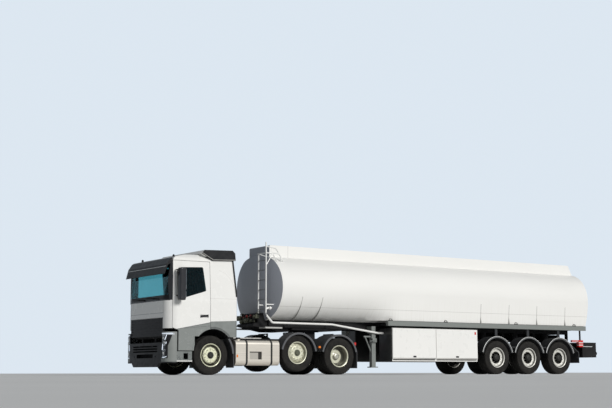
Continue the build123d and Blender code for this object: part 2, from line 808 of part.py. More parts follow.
# Tanks beside the frame
side_tank_y = (640, side_y - 5)
side_tank_middle = sum(side_tank_y) / 2
strap_width = side_tank_y[1] - side_tank_y[0] + 8
with BuildPart() as side_tanks:
    for side in (1, -1):
        block((710, 2080), (side * side_tank_y[0], side * side_tank_y[1]), (250, 920))
    fillet(side_tanks.edges().filter_by(Axis.X), radius=110)
    for side in (1, -1):
        block((1140, 1520), (side * (side_tank_y[1] - 26), side * (side_tank_y[1] + 1)), (410, 620), mode=Mode.SUBTRACT)
        add(upright(860, side * (side_tank_y[1] - 150), 60, (900, 955)))
        for strap_s in (1050, 1830):
            with BuildSketch(cross_plane(strap_s - 27)):
                with Locations((side * side_tank_middle, 585)):
                    RectangleRounded(strap_width, 678, 114)
            extrude(amount=-54)
            block((strap_s - 25, strap_s + 25), (side * (rail_outer_y + seat_gap), side * 700), (300, 880))
save(side_tanks.part, "side_tanks")


def mudguard(s, z, radius, start, end, y_range, thick=12):
    """Strip bent round a wheel; angles in degrees from straight forward, up over the top."""
    with BuildPart() as guard:
        with BuildSketch(side_plane(max(y_range))):
            with BuildLine():
                outer = radius + thick
                points = [(x_at(s) + r * cos(radians(a)), z + r * sin(radians(a)))
                          for r, a in ((outer, start), (outer, (start + end) / 2), (outer, end),
                                       (radius, end), (radius, (start + end) / 2), (radius, start))]
                ThreePointArc(*points[:3])
                Line(points[2], points[3])
                ThreePointArc(*points[3:])
                Line(points[5], points[0])
            make_face()
        extrude(amount=max(y_range) - min(y_range))
    return guard.part


def lip_y(side):
    """Widths that the outer lip of a mudguard takes up."""
    return sorted((side * (side_y - 10), side * side_y))


with BuildPart() as tractor_mudguards:
    for side in (1, -1):
        ys = sorted((side * 830, side * side_y))
        add(mudguard(0, 560, 640, 142, 180, ys))
        add(mudguard(0, 560, 600, 142, 180, lip_y(side), 52))
        block((638, 652), ys, (190, 562))
        add(mudguard(lift_axle_s, 570, 575, 12, 172, ys))
        add(mudguard(lift_axle_s, 570, 535, 12, 172, lip_y(side), 52))
        ys = sorted((side * 590, side * side_y))
        add(mudguard(drive_axle_s, tyre_radius, 600, 12, 168, ys))
        add(mudguard(drive_axle_s, tyre_radius, 560, 12, 168, lip_y(side), 52))
        block((4688, 4700), ys, (180, 640))
        block((600, 640), (side * (rail_outer_y + seat_gap), side * 900), (760, 800))
        for s, z in ((lift_axle_s, 1140), (drive_axle_s, 1115)):
            block((s - 20, s + 20), (side * (rail_outer_y + seat_gap), side * 465), (900, z + 35))
            block((s - 20, s + 20), (side * 430, side * 900), (z, z + 35))
save(tractor_mudguards.part, "tractor_mudguards")

# Trailer tank: a barrel of four tangent arcs with domed ends and a flat-topped coaming
def tank_face(s, inset=0):
    """Barrel section across the lorry: two side arcs joined by shallow crowns."""
    side_radius = tank_side_radius - inset
    crown_radius = tank_crown_radius - inset
    drop = sqrt((tank_crown_radius - tank_side_radius) ** 2 - tank_side_centre_y**2)
    crown_y = crown_radius * tank_side_centre_y / (tank_crown_radius - tank_side_radius)
    crown_z = crown_radius * drop / (tank_crown_radius - tank_side_radius) - drop
    with BuildSketch(cross_plane(s)) as face:
        with BuildLine():
            for turn in (1, -1):
                ThreePointArc(
                    (-turn * crown_y, tank_centre_z + turn * crown_z),
                    (0, tank_centre_z + turn * (crown_radius - drop)),
                    (turn * crown_y, tank_centre_z + turn * crown_z),
                )
                ThreePointArc(
                    (turn * crown_y, tank_centre_z + turn * crown_z),
                    (turn * (tank_side_centre_y + side_radius), tank_centre_z),
                    (turn * crown_y, tank_centre_z - turn * crown_z),
                )
        make_face()
    return face.sketch


def tank_head(s, outward):
    """Domed end of the barrel, cut from its section by a large sphere; outward is -1 at the front."""
    with BuildPart() as head:
        extrude(tank_face(s), amount=-outward * head_bulge)
        with Locations((x_at(s + outward * (head_bulge - head_sphere_radius)), 0, tank_centre_z)):
            Sphere(head_sphere_radius, mode=Mode.INTERSECT)
    return head.part


front_rib_s = [2860, 3540]
rear_rib_s = [9460, 10640, 11850, 13120]
rib_thick = 14
coaming_outline = [
    (tank_front_s, 3200), (tank_front_s, coaming_top), (14040, coaming_top), (14210, 3290), (14210, 3200)
]
with BuildPart() as tank:
    extrude(tank_face(tank_front_s), amount=tank_front_s - tank_rear_s)
    add(tank_head(tank_front_s, -1))
    add(tank_head(tank_rear_s, 1))
    with BuildSketch(side_plane(coaming_half_width)) as coaming:
        with BuildLine():
            Polyline(*[(x_at(s), z) for s, z in coaming_outline], close=True)
        make_face()
        fillet(coaming.vertices().group_by(Axis.Y)[-1], radius=50)
    extrude(amount=2 * coaming_half_width)
    block((2500, 13500), (60 - coaming_half_width, coaming_half_width - 60), (3420, coaming_top + 1),
          mode=Mode.SUBTRACT)
    for side in (1, -1):
        for s in front_rib_s:
            with BuildSketch(cross_plane(s - rib_thick / 2)):
                with BuildLine():
                    ThreePointArc((side * (body_half_width - 51), 2105), (side * (body_half_width - 240), 1745),
                                  (side * (body_half_width - 560), 1495))
                    Polyline((side * (body_half_width - 560), 1495), (side * (body_half_width - 650), 1700),
                             (side * (body_half_width - 150), 2200), (side * (body_half_width - 51), 2105))
                make_face()
            extrude(amount=-rib_thick)
        for s in rear_rib_s:
            add(front_prism([(side * (body_half_width - 92), 2010), (side * (side_y - 1), 1551), (side * 700, 1551),
                             (side * (body_half_width - 350), 1900)], s - rib_thick / 2, rib_thick))
save(tank.part, "tank")

with BuildPart() as manhole_covers:
    for cover in range(5):
        add(upright(3500 + cover * 2250, 0, 280, (3420 + seat_gap, 3500)))
save(manhole_covers.part, "manhole_covers")

# Trailer frame under the tank
beam_y = (420, 520)
front_box_outline = [
    (1700, 1345), (1740, 1410), (1860, 1440), (1860, 1700), (2400, 1700), (2400, 1440), (2179, 1440),
    (2179, 1298), (2890, 1298), (2890, 1200), (2450, 1200)
]
beam_low = 1300
rear_unit_s = 14595
rail_y = (side_y - 105, side_y)
rear_plate_y = (side_y - 125, side_y - 85)
rear_unit_z = (545, 1030)
with BuildPart() as trailer_frame:
    for side in (1, -1):
        block((2180, 13900), (side * beam_y[0], side * beam_y[1]), (beam_low, 1530))
        block((5830, 14050), (side * rail_y[0], side * rail_y[1]), (1410, 1550))
        for s in (5900, 8000, 9460, 10640, 11850, 13120, 13700):
            block((s - 30, s + 30), (side * (beam_y[1] + seat_gap), side * (rail_y[0] - seat_gap)), (1420, 1470))
    for s in (2230, 5300, 6500, 8500, 10790, 12150, 13600):
        block((s - 50, s + 50), (seat_gap - beam_y[0], beam_y[0] - seat_gap), (beam_low, 1440))
    extrude(tank_face(tank_front_s, inset=-seat_gap), amount=tank_front_s - tank_rear_s, mode=Mode.SUBTRACT)
    block((2900, 4600), (-600, 600), (plate_top + seat_gap, beam_low - seat_gap))
    with BuildPart() as front_box:
        add(side_prism(front_box_outline, 450, 900))
        add(tank.part, mode=Mode.SUBTRACT)
    add(front_box.part)
    for side in (1, -1):
        block((1900, 2450), (side * (450 + seat_gap), side * 800), (1270, 1310))
    add(upright(kingpin_s, 0, kingpin_radius, (plate_top - 90, plate_top + 10)))
    for side in (1, -1):
        block((13900 + seat_gap, 13950), (side * beam_y[0], side * beam_y[1]), (600, 1480))
        block((13950 + seat_gap, rear_unit_s), (side * rear_plate_y[0], side * rear_plate_y[1]), rear_unit_z)
        add(rod([(rear_unit_s, side * 1000, 680), (rear_reach, side * 1000, 680)], 60))
    block((13950 + seat_gap, 14000), (-rear_plate_y[0], rear_plate_y[0]), rear_unit_z)
    block((14200, rear_unit_s), (-rear_plate_y[0], rear_plate_y[0]), (rear_unit_z[0], 760))
    block((14000, 14200), (-520, 520), (600, 640))
save(trailer_frame.part, "trailer_frame")

with BuildPart() as landing_legs:
    for side in (1, -1):
        block((5580, 5720), (side * 640, side * 760), (230, 1200))
        block((5530, 5770), (side * 600, side * 800), (200, 230))
        block((5580, 5720), (side * (beam_y[1] + seat_gap), side * 760), (1200, 1400))
        block((5330, 5580), (side * 680, side * 720), (1080, 1120))
        add(rod([(5380, side * 700, 1090), (5600, side * 700, 640)], 22))
save(landing_legs.part, "landing_legs")

trailer_hub_y = trailer_wheel_y + 20 - 0.5
with BuildPart() as trailer_axles:
    for s in trailer_axle_s:
        add(across(s, tyre_radius, 70, (-trailer_hub_y, trailer_hub_y)))
        for side in (1, -1):
            add(across(s, tyre_radius, 200, sorted((side * 700, side * 800))))
            block((s - 480, s + 120), (side * 430, side * 510), (tyre_radius - 20, tyre_radius + 90))
            block((s - 500, s - 380), (side * 430, side * 510), (tyre_radius - 20, beam_low - seat_gap))
            add(upright(s + 60, side * 470, 120, (tyre_radius + 90, beam_low - seat_gap)))
save(trailer_axles.part, "trailer_axles")

with BuildPart() as trailer_mudguards:
    for side in (1, -1):
        ys = sorted((side * 820, side * side_y))
        for s in trailer_axle_s:
            add(mudguard(s, tyre_radius, 640, 14, 166, ys))
            add(mudguard(s, tyre_radius, 605, 14, 166, lip_y(side), 47))
            block((s - 50, s + 50), (side * (side_y - 95), side * (side_y - 55)), (tyre_radius + 645, 1410 - seat_gap))
        last = trailer_axle_s[-1]
        tail = [(490, 944), (846, 702), (858, 360), (870, 360), (858, 706), (498, 950)]
        add(side_prism([(last + s, z) for s, z in tail], max(ys), ys[1] - ys[0]))
        for s in trailer_axle_s[1:]:
            block((s - 800, s - 560), (side * (side_y - 45), side * (side_y - 20)), (830, 855))
save(trailer_mudguards.part, "trailer_mudguards")

# Cabinets under the rail, open-fronted boxes with two doors a side
cabinet_s = (5980, 9280)
cabinet_low = 385
cabinet_high = 1350
cabinet_wall = 30
door_thick = 30
cabinet_outer_y = side_y
cabinet_inner_y = 600
outlet_s = (6550, 7150, 8250)
outlet_z = 860
outlet_radius = 50
outlet_end_y = 760
with BuildPart() as cabinets:
    for side in (1, -1):
        block(cabinet_s, (side * cabinet_inner_y, side * (cabinet_outer_y - door_thick - seat_gap)),
              (cabinet_low, cabinet_high))
        middle = sum(cabinet_s) / 2
        for start, end in ((cabinet_s[0], middle), (middle, cabinet_s[1])):
            block((start + cabinet_wall, end - cabinet_wall),
                  (side * (cabinet_inner_y + cabinet_wall), side * cabinet_outer_y),
                  (cabinet_low + cabinet_wall, cabinet_high - cabinet_wall), mode=Mode.SUBTRACT)
        for s in outlet_s:
            add(across(s, outlet_z, outlet_radius, sorted((side * (cabinet_inner_y + 10), side * outlet_end_y))))
            add(across(s, outlet_z, outlet_radius + 25,
                       sorted((side * (cabinet_inner_y + 10), side * (cabinet_inner_y + 50)))))
        for s in (6200, 7630, 9000):
            block((s - 40, s + 40), (side * 700, side * 1100), (cabinet_high, 1420))
    for side in (1, -1):
        block((5900, 9300), (side * 900, side * 1100), (1400, 1420))
save(cabinets.part, "cabinets")

cabinet_hinge_y = side_y - 13
cabinet_hinge_z = 1332
cabinet_hinge_radius = 12
for side, side_name in ((1, "left"), (-1, "right")):
    for place, (start, end) in (("front", (5990, 7620)), ("rear", (7640, 9270))):
        with BuildPart() as cabinet_door:
            block((start, end), (side * (cabinet_outer_y - door_thick), side * cabinet_outer_y),
                  (cabinet_low + 60, cabinet_hinge_z))
            with BuildSketch(Plane(origin=(x_at(start), 0, 0), x_dir=(0, 1, 0), z_dir=(-1, 0, 0))):
                with Locations((side * cabinet_hinge_y, -cabinet_hinge_z)):
                    Circle(cabinet_hinge_radius)
            extrude(amount=end - start)
        save(cabinet_door.part, f"cabinet_door_{place}_{side_name}")

# Ladder up the front of the tank and the pipe that runs back along the frame
ladder_s = 1850
pipe_y = 800
pipe_radius = 30
pipe_route = [
    (2200, pipe_y, 1830), (1740, pipe_y, 1830), (2120, pipe_y, 1428), (4130, pipe_y, 1418),
    (5760, pipe_y, 1205), (cabinet_s[0] - seat_gap, pipe_y, 1205)
]
with BuildPart() as ladder:
    for y, top in ((500, 3340), (900, 3640)):
        add(rod([(ladder_s, y, 1690), (ladder_s, y, top)], 20))
        block((ladder_s, 2300), (y - 12, y + 12), (1910, 1934))
    for step in range(6):
        block((ladder_s - 12, ladder_s + 12), (500, 900), (1790 + 270 * step - 12, 1790 + 270 * step + 12))
    add(rod([(ladder_s, 470, 3340), (ladder_s, 930, 3340)], 18))
    add(rod([(ladder_s, 900, 3340), (2330, 900, 3340), (2330, 900, 3050)], 16, bend=120))
    add(rod([(ladder_s, 900, 3520), (2180, 900, 3480), (2450, 900, 3050)], 14, bend=150))
    add(rod([(ladder_s, 900, 2990), (2060, 900, 3330)], 13))
    add(rod([(2060, 900, 3330), (2300, 900, 2990)], 13))
    add(rod([(ladder_s, 500, 3340), (2250, 500, 3250)], 14))
    add(rod(pipe_route, pipe_radius, bend=110))
    add(rod([(2010, pipe_y, 1830), (2050, pipe_y, 1830)], 55))
    for s in (2700, 4100):
        block((s - 15, s + 15), (beam_y[1] + seat_gap, pipe_y), (1405, 1430))
    add(tank.part, mode=Mode.SUBTRACT)
save(ladder.part, "ladder")

with BuildPart() as trailer_lamps:
    for side in (1, -1):
        block((14340, rear_unit_s), (side * 421, side * (rear_plate_y[0] - seat_gap)), (760 + seat_gap, 940))
        block((13740, 13940), (side * (side_y - 135), side * (side_y - 35)), (880, 1100))
        block((13820, 13860), (side * (side_y - 100), side * (side_y - 60)), (1100, 1410 - seat_gap))
save(trailer_lamps.part, "trailer_lamps")
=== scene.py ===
import math

import bmesh
import bpy
from mathutils import Matrix, Vector


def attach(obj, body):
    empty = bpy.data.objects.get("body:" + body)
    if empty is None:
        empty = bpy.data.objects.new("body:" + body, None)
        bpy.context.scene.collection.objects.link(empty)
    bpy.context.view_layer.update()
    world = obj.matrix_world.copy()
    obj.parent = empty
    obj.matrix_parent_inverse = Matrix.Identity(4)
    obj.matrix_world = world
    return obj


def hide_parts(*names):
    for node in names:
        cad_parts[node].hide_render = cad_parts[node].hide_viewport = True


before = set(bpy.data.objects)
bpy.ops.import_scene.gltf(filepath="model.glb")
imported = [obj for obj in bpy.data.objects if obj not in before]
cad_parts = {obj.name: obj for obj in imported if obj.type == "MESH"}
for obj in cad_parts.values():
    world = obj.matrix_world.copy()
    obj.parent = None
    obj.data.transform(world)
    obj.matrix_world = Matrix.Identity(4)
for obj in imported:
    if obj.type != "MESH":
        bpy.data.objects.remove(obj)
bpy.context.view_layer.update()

# Sizes are in metres. Places along the lorry, s, are distances behind the front axle, as in the
# part's source; y and z are the frame's own.
tyre_xs = [v.co.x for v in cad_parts["tyre_front_left"].data.vertices]
FRONT_AXLE_X = (min(tyre_xs) + max(tyre_xs)) / 2
LIFT_AXLE_S = 2.730
DRIVE_AXLE_S = 4.100
TRAILER_AXLES_S = (10.110, 11.470, 12.830)
LIFT_WHEEL_Z = 0.600
TYRE_R = 0.515
BEAD_R = 0.2865
SIDES = (("left", 1), ("right", -1))

# Front wheel arch
ARCH_S = 0.02
ARCH_Z = 0.612

# Tank: the barrel's side arcs, the sphere of its rear end, its ribs and its weld line
TANK_Z = 2.40
SIDE_ARC_Y = 0.35
SIDE_ARC_R = 0.90
HEAD_SPHERE_R = 3.25
REAR_SPHERE_S = 11.184
RIBS_S = (2.86, 3.54, 9.46, 10.64, 11.85, 13.12)
RIB_TOP_Z = 2.15
WELD_Z = 1.87
LADDER_Y = (0.525, 0.875)

# Faces that carry small parts
DOOR_FACE_Y = 1.234
REAR_FACE_S = 14.594
SIDE_RAIL_TOP_Z = 1.549
TRAY_COVER_Z = 3.499


def x_at(s):
    return FRONT_AXLE_X - s


def point(s, y, z):
    return Vector((x_at(s), y, z))


# Materials
class Graph:
    """Short calls to build a node tree."""

    def __init__(self, tree):
        self.tree = tree

    def new(self, kind):
        return self.tree.nodes.new("ShaderNode" + kind)

    def link(self, source, target):
        self.tree.links.new(source, target)

    def math(self, operation, *values):
        node = self.new("Math")
        node.operation = operation
        for socket, value in zip(node.inputs, values):
            if isinstance(value, (int, float)):
                socket.default_value = value
            else:
                self.link(value, socket)
        return node.outputs[0]

    def plus(self, a, b):
        return self.math("ADD", a, b)

    def minus(self, a, b):
        return self.math("SUBTRACT", a, b)

    def times(self, a, b):
        return self.math("MULTIPLY", a, b)

    def either(self, a, b):
        return self.math("MAXIMUM", a, b)

    def over(self, value, limit):
        return self.math("GREATER_THAN", value, limit)

    def under(self, value, limit):
        return self.math("LESS_THAN", value, limit)

    def all_of(self, *factors):
        product = factors[0]
        for factor in factors[1:]:
            product = self.times(product, factor)
        return product

    def spread(self, value, low, high, start=0.3, end=0.7):
        """Map start..end to low..high, without going beyond."""
        node = self.new("MapRange")
        for socket, limit in zip(node.inputs[1:5], (start, end, low, high)):
            socket.default_value = limit
        self.link(value, node.inputs[0])
        return node.outputs[0]


class Nodes(Graph):
    """A material with a Principled shader and what feeds it."""

    def __init__(self, name):
        self.material = bpy.data.materials.new(name)
        self.material.use_nodes = True
        super().__init__(self.material.node_tree)
        self.shader = self.tree.nodes["Principled BSDF"]
        self.coordinates = self.new("TexCoord").outputs
        self.place = self.coordinates["Object"]

    def split(self, vector):
        node = self.new("SeparateXYZ")
        self.link(vector, node.inputs[0])
        return node.outputs

    def noise(self, scale, detail=3.0, stretch=None):
        node = self.new("TexNoise")
        node.inputs["Scale"].default_value = scale
        node.inputs["Detail"].default_value = detail
        where = self.place
        if stretch:
            mapping = self.new("Mapping")
            mapping.inputs["Scale"].default_value = stretch
            self.link(self.place, mapping.inputs["Vector"])
            where = mapping.outputs[0]
        self.link(where, node.inputs["Vector"])
        return node.outputs["Fac"]

    def above(self, value, limit, soft=0.002):
        """1 where value is over the limit, with a soft edge."""
        return self.spread(value, 0.0, 1.0, limit - soft, limit + soft)

    def between(self, value, low, high, soft=0.002):
        return self.times(self.above(value, low, soft),
                          self.minus(1.0, self.above(value, high, soft)))

    def line(self, value, at, half):
        """A thin line where value equals at."""
        return self.under(self.math("ABSOLUTE", self.minus(value, at)), half)

    def along(self):
        """Distance behind the front axle."""
        return self.minus(FRONT_AXLE_X, self.split(self.place)["X"])

    def width(self):
        return self.math("ABSOLUTE", self.split(self.place)["Y"])

    def height(self):
        return self.split(self.place)["Z"]

    def radius_from(self, s, z):
        """Distance from a point, as seen from the side."""
        return self.math("SQRT", self.plus(self.math("POWER", self.minus(self.along(), s), 2.0),
                                           self.math("POWER", self.minus(self.height(), z), 2.0)))

    def wheel_radius(self):
        """Distance from the axis, in a wheel's own frame."""
        axes = self.split(self.place)
        return self.math("SQRT", self.plus(self.times(axes["X"], axes["X"]),
                                           self.times(axes["Z"], axes["Z"])))

    def towards(self, axis):
        """The surface normal's share along an axis."""
        return self.split(self.coordinates["Normal"])[axis]

    def facing(self, centre):
        """1 on faces that look towards a point."""
        offset = self.new("VectorMath")
        offset.operation = "SUBTRACT"
        self.link(self.place, offset.inputs[0])
        offset.inputs[1].default_value = centre
        dot = self.new("VectorMath")
        dot.operation = "DOT_PRODUCT"
        self.link(offset.outputs[0], dot.inputs[0])
        self.link(self.coordinates["Normal"], dot.inputs[1])
        return self.under(dot.outputs["Value"], 0.0)

    def mix(self, factor, a, b):
        node = self.new("Mix")
        node.data_type = "RGBA"
        for socket, value in ((node.inputs["A"], a), (node.inputs["B"], b)):
            if isinstance(value, tuple):
                socket.default_value = (*value, 1)
            else:
                self.link(value, socket)
        self.link(factor, node.inputs["Factor"])
        return node.outputs["Result"]

    def bump(self, height, strength, distance):
        node = self.new("Bump")
        node.inputs["Strength"].default_value = strength
        node.inputs["Distance"].default_value = distance
        self.link(height, node.inputs["Height"])
        self.feed("Normal", node.outputs[0])

    def feed(self, socket, value):
        self.link(value, self.shader.inputs[socket])

    def set(self, **values):
        """Even values on sockets; an underscore stands for a space."""
        for socket, value in values.items():
            self.shader.inputs[socket.replace("_", " ")].default_value = value

    def recolour(self, factor, colour):
        """Lay a colour over what is there, where factor is 1."""
        current = self.shader.inputs["Base Color"].links[0].from_socket
        self.feed("Base Color", self.mix(factor, current, colour))


def finish_of(name, colour, rough, metal=0.0, coat=0.0, vary=0.06, scale=3.0, grain=None,
              dirt=0.0, bump=0.0, specular=0.5):
    """Paint, plastic or metal that varies a little; dust darkens it low down."""
    n = Nodes(name)
    shade = tuple(c * (1 - vary) for c in colour)
    light = tuple(min(1.0, c * (1 + vary)) for c in colour)
    base = n.mix(n.spread(n.noise(scale, 4.0, grain), 0.0, 1.0), shade, light)
    if dirt:
        low = n.times(n.spread(n.height(), dirt, 0.0, 0.1, 1.3), n.spread(n.noise(2.3), 0.3, 1.0))
        base = n.mix(low, base, (0.20, 0.18, 0.15))
    n.feed("Base Color", base)
    n.feed("Roughness", n.spread(n.noise(scale * 4, 5.0, grain), rough * 0.8,
                                 min(1.0, rough * 1.25)))
    n.set(Metallic=metal, Specular_IOR_Level=specular, Coat_Weight=coat, Coat_Roughness=0.08)
    if bump:
        n.bump(n.noise(90.0, 2.0), bump, 0.002)
    return n


def finish(*look, **values):
    """The material of a plain finish."""
    return finish_of(*look, **values).material


WHITE = (0.84, 0.835, 0.81)
PIPE_GREY = (0.84, 0.84, 0.82)
GREY = (0.235, 0.25, 0.24)
RAIL_GREY = (0.22, 0.235, 0.225)
BLACK = (0.018, 0.018, 0.021)
SOFT_BLACK = (0.012, 0.012, 0.013)
DARK_AND_SHADE = (0.03, 0.03, 0.03)
SEAM = (0.30, 0.29, 0.27)
LENS_RED = (0.60, 0.025, 0.02)
BRUSHED = (0.4, 6, 30)

n = finish_of("tank_white", WHITE, 0.5, coat=0.06, vary=0.012, scale=0.7, grain=(0.35, 1, 1),
              specular=0.3)
# Painted warm bounce light from the ground: a tan tone in vertical streaks, stronger towards the
# bottom
n.recolour(n.all_of(n.spread(n.noise(5.0, 6.0, (4.0, 1.0, 0.12)), 0.0, 1.0, 0.45, 0.75),
                    n.spread(n.height(), 0.30, 0.0, 1.5, 2.3)), (0.60, 0.57, 0.50))
n.recolour(n.all_of(n.line(n.height(), WELD_Z, 0.006), 0.45), SEAM)
n.recolour(n.all_of(n.line(n.along(), 2.80, 0.006), n.above(n.height(), 3.28), 0.5), SEAM)
# Painted shade: faces of the front end that look forward are laid bluish grey
n.recolour(n.all_of(n.over(n.towards("X"), 0.5), n.under(n.along(), 2.3)), (0.40, 0.42, 0.47))
# Painted shade: a dark line along each rib, below its top
for s in RIBS_S:
    n.recolour(n.all_of(n.line(n.along(), s, 0.010), n.under(n.height(), RIB_TOP_Z), 0.55),
               (0.10, 0.09, 0.08))
tank_white = n.material

white = finish("white_paint", WHITE, 0.3, coat=0.3, vary=0.012, scale=1.2)

n = finish_of("grey_paint", GREY, 0.36, metal=0.35, coat=0.3, vary=0.05, scale=2.0, dirt=0.2)
n.recolour(n.under(n.along(), -0.985), SOFT_BLACK)
from_arch = n.radius_from(ARCH_S, ARCH_Z)
n.recolour(n.all_of(n.line(from_arch, 0.606, 0.024), 0.6), (0.07, 0.073, 0.075))
n.recolour(n.all_of(n.line(from_arch, 0.634, 0.004), 0.8), DARK_AND_SHADE)
grey = n.material

black = finish("black_plastic", BLACK, 0.42, vary=0.15, scale=4.0, bump=0.05, specular=0.25)
soft_black = finish("soft_black", SOFT_BLACK, 0.8, vary=0.2, scale=6.0, bump=0.15, specular=0.15)
chassis = finish("chassis_paint", (0.010, 0.010, 0.011), 0.6, vary=0.25, scale=3.0, dirt=0.07,
                 bump=0.1, specular=0.2)
rail_grey = finish("rail_grey", RAIL_GREY, 0.5, metal=0.2, vary=0.1, scale=2.5)
aluminium = finish("aluminium", (0.62, 0.60, 0.56), 0.32, metal=0.85, vary=0.06, scale=2.0,
                   grain=BRUSHED, bump=0.04)
bright = finish("bright_metal", (0.80, 0.80, 0.79), 0.2, metal=0.9, vary=0.04)
pipe_grey = finish("pipe_grey", PIPE_GREY, 0.4, metal=0.1, vary=0.05)

# Ladder: light rails and pipes, dark rungs between the rails
n = finish_of("ladder_paint", PIPE_GREY, 0.4, metal=0.1, vary=0.05)
n.recolour(n.all_of(n.between(n.split(n.place)["Y"], *LADDER_Y), n.between(n.height(), 1.6, 3.25),
                    n.under(n.along(), 1.92)), (0.22, 0.225, 0.235))
ladder_paint = n.material


def guard_finish(name, colour, dirt, lip):
    """Mudguard plastic with a lighter lip along the outer edge."""
    n = finish_of(name, colour, 0.55, vary=0.15, scale=4.0, dirt=dirt, bump=0.12, specular=0.3)
    n.recolour(n.over(n.width(), 1.2235), lip)
    return n.material


guard_grey = guard_finish("mudguard_grey", (0.03, 0.032, 0.035), 0.12, (0.11, 0.115, 0.12))
guard_paint = guard_finish("mudguard_paint", (0.05, 0.053, 0.057), 0.2, (0.095, 0.098, 0.105))
amber = finish("amber_lens", (0.85, 0.22, 0.02), 0.2, coat=0.5, vary=0.08, scale=30.0)
red = finish("red_lens", LENS_RED, 0.2, coat=0.5, vary=0.08, scale=30.0)
clear = finish("clear_lens", (0.75, 0.77, 0.80), 0.12, metal=0.5, coat=0.8, vary=0.08, scale=40.0)
# A glowing material for the running lamp, also used to paint highlights on the headlamp's cover
n = finish_of("running_lamp_and_highlights", (0.85, 0.9, 1.0), 0.2, coat=0.5, vary=0.04, scale=40.0)
n.set(Emission_Color=(0.75, 0.87, 1.0, 1), Emission_Strength=0.5)
lamp_and_highlight_glow = n.material
dull_red = finish("coupling_red", (0.22, 0.016, 0.014), 0.4, vary=0.15, scale=20.0)
fabric = finish("seat_fabric", (0.02, 0.02, 0.022), 0.9, vary=0.25, scale=40.0, bump=0.3,
                specular=0.15)
blank = finish("blank_card", (0.62, 0.66, 0.66), 0.5, vary=0.03, scale=20.0)

# Fuel tank: dark straps, and painted shade in a step recess, darkest along its upper and rear
# edges
n = finish_of("brushed_tank", (0.74, 0.69, 0.61), 0.34, metal=0.55, vary=0.06, scale=2.0,
              grain=BRUSHED, bump=0.04)
for s in (1.05, 1.83):
    n.recolour(n.line(n.along(), s, 0.028), DARK_AND_SHADE)
recess = n.all_of(n.under(n.width(), 1.2245), n.between(n.along(), 1.141, 1.519, 0.001),
                  n.between(n.height(), 0.411, 0.619, 0.001))
n.recolour(recess, (0.52, 0.49, 0.44))
n.recolour(n.times(recess, n.either(n.over(n.height(), 0.592), n.over(n.along(), 1.42))),
           (0.05, 0.045, 0.04))
tank_metal = n.material

# Trailer frame: black beams, grey side rails and light treads at the front
n = finish_of("trailer_frame_paint", (0.009, 0.009, 0.010), 0.6, vary=0.25, scale=3.0, dirt=0.06,
              bump=0.1, specular=0.2)
n.recolour(n.all_of(n.over(n.width(), 1.125), n.over(n.height(), 1.40)), RAIL_GREY)
n.recolour(n.all_of(n.under(n.along(), 2.46), n.between(n.height(), 1.265, 1.315),
                    n.over(n.width(), 0.46)), (0.50, 0.50, 0.48))
trailer_frame_paint = n.material

# Lamps of the trailer: red with a dark top, pale bands on the side marker, a dark housing
n = finish_of("trailer_lamp_lens", LENS_RED, 0.2, coat=0.5, vary=0.08, scale=30.0)
n.recolour(n.over(n.height(), 1.101), (0.01, 0.01, 0.01))
for low in (0.928, 1.004):
    n.recolour(n.all_of(n.between(n.height(), low, low + 0.028, 0.001), n.under(n.along(), 13.95)),
               (0.72, 0.70, 0.68))
n.recolour(n.all_of(n.under(n.along(), 14.585), n.over(n.along(), 14.0)), (0.008, 0.008, 0.008))
trailer_lens = n.material

# Lamps of the tractor: bright cells in a dark headlamp, red tail lamps in dark housings
n = finish_of("tractor_lamp_lens", (0.72, 0.74, 0.77), 0.12, metal=0.4, coat=0.8, vary=0.08,
              scale=40.0)
cells = n.spread(n.noise(22.0, 1.0, (1, 1, 1.6)), 0.0, 1.0, 0.54, 0.62)
n.recolour(n.all_of(n.under(n.along(), -1.0), n.under(n.height(), 1.03), n.minus(1.0, cells)),
           (0.02, 0.023, 0.03))
n.recolour(n.over(n.along(), 4.0), (0.50, 0.03, 0.02))
n.recolour(n.all_of(n.over(n.along(), 4.0), n.under(n.along(), 4.945)), (0.02, 0.02, 0.02))
tractor_lens = n.material


def wheel_metal(name, colour, metal, rough, dark_rings):
    """Wheel paint with dark_rings of painted shade, each (inner radius, outer radius, strength).
    """
    n = Nodes(name)
    radius = n.wheel_radius()
    n.feed("Base Color", n.mix(n.spread(n.noise(9.0), 0.0, 1.0), tuple(c * 0.9 for c in colour),
                               colour))
    for low, high, strength in dark_rings:
        n.recolour(n.all_of(n.between(radius, low, high, 0.004),
                            n.spread(n.noise(6.0), strength * 0.85, strength)),
                   (0.025, 0.022, 0.017))
    n.feed("Roughness", n.spread(n.noise(22.0), rough, rough * 1.7))
    n.set(Metallic=metal)
    return n.material


wheel_bright = wheel_metal("wheel_bright", (0.88, 0.88, 0.66), 0.4, 0.22, [(0.216, 0.283, 0.97)])
wheel_silver = wheel_metal("wheel_silver", (0.82, 0.81, 0.64), 0.4, 0.25, [(0.250, 0.283, 0.7)])
wheel_deep = wheel_metal("wheel_deep", (0.82, 0.81, 0.64), 0.5, 0.25, [(0.190, 0.276, 0.93)])
wheel_white = wheel_metal("wheel_white", (0.80, 0.79, 0.73), 0.3, 0.35,
                          [(0.0, 0.186, 0.95), (0.255, 0.286, 0.8)])
hub_dark = finish("hub_dark", (0.018, 0.018, 0.015), 0.55, metal=0.3, vary=0.3, scale=20.0,
                  bump=0.15)
hub_green = finish("hub_green", (0.10, 0.105, 0.075), 0.5, metal=0.4, vary=0.3, scale=20.0,
                   bump=0.1)
hub_silver = finish("hub_silver", (0.50, 0.49, 0.42), 0.35, metal=0.6, vary=0.2, scale=20.0,
                    bump=0.1)


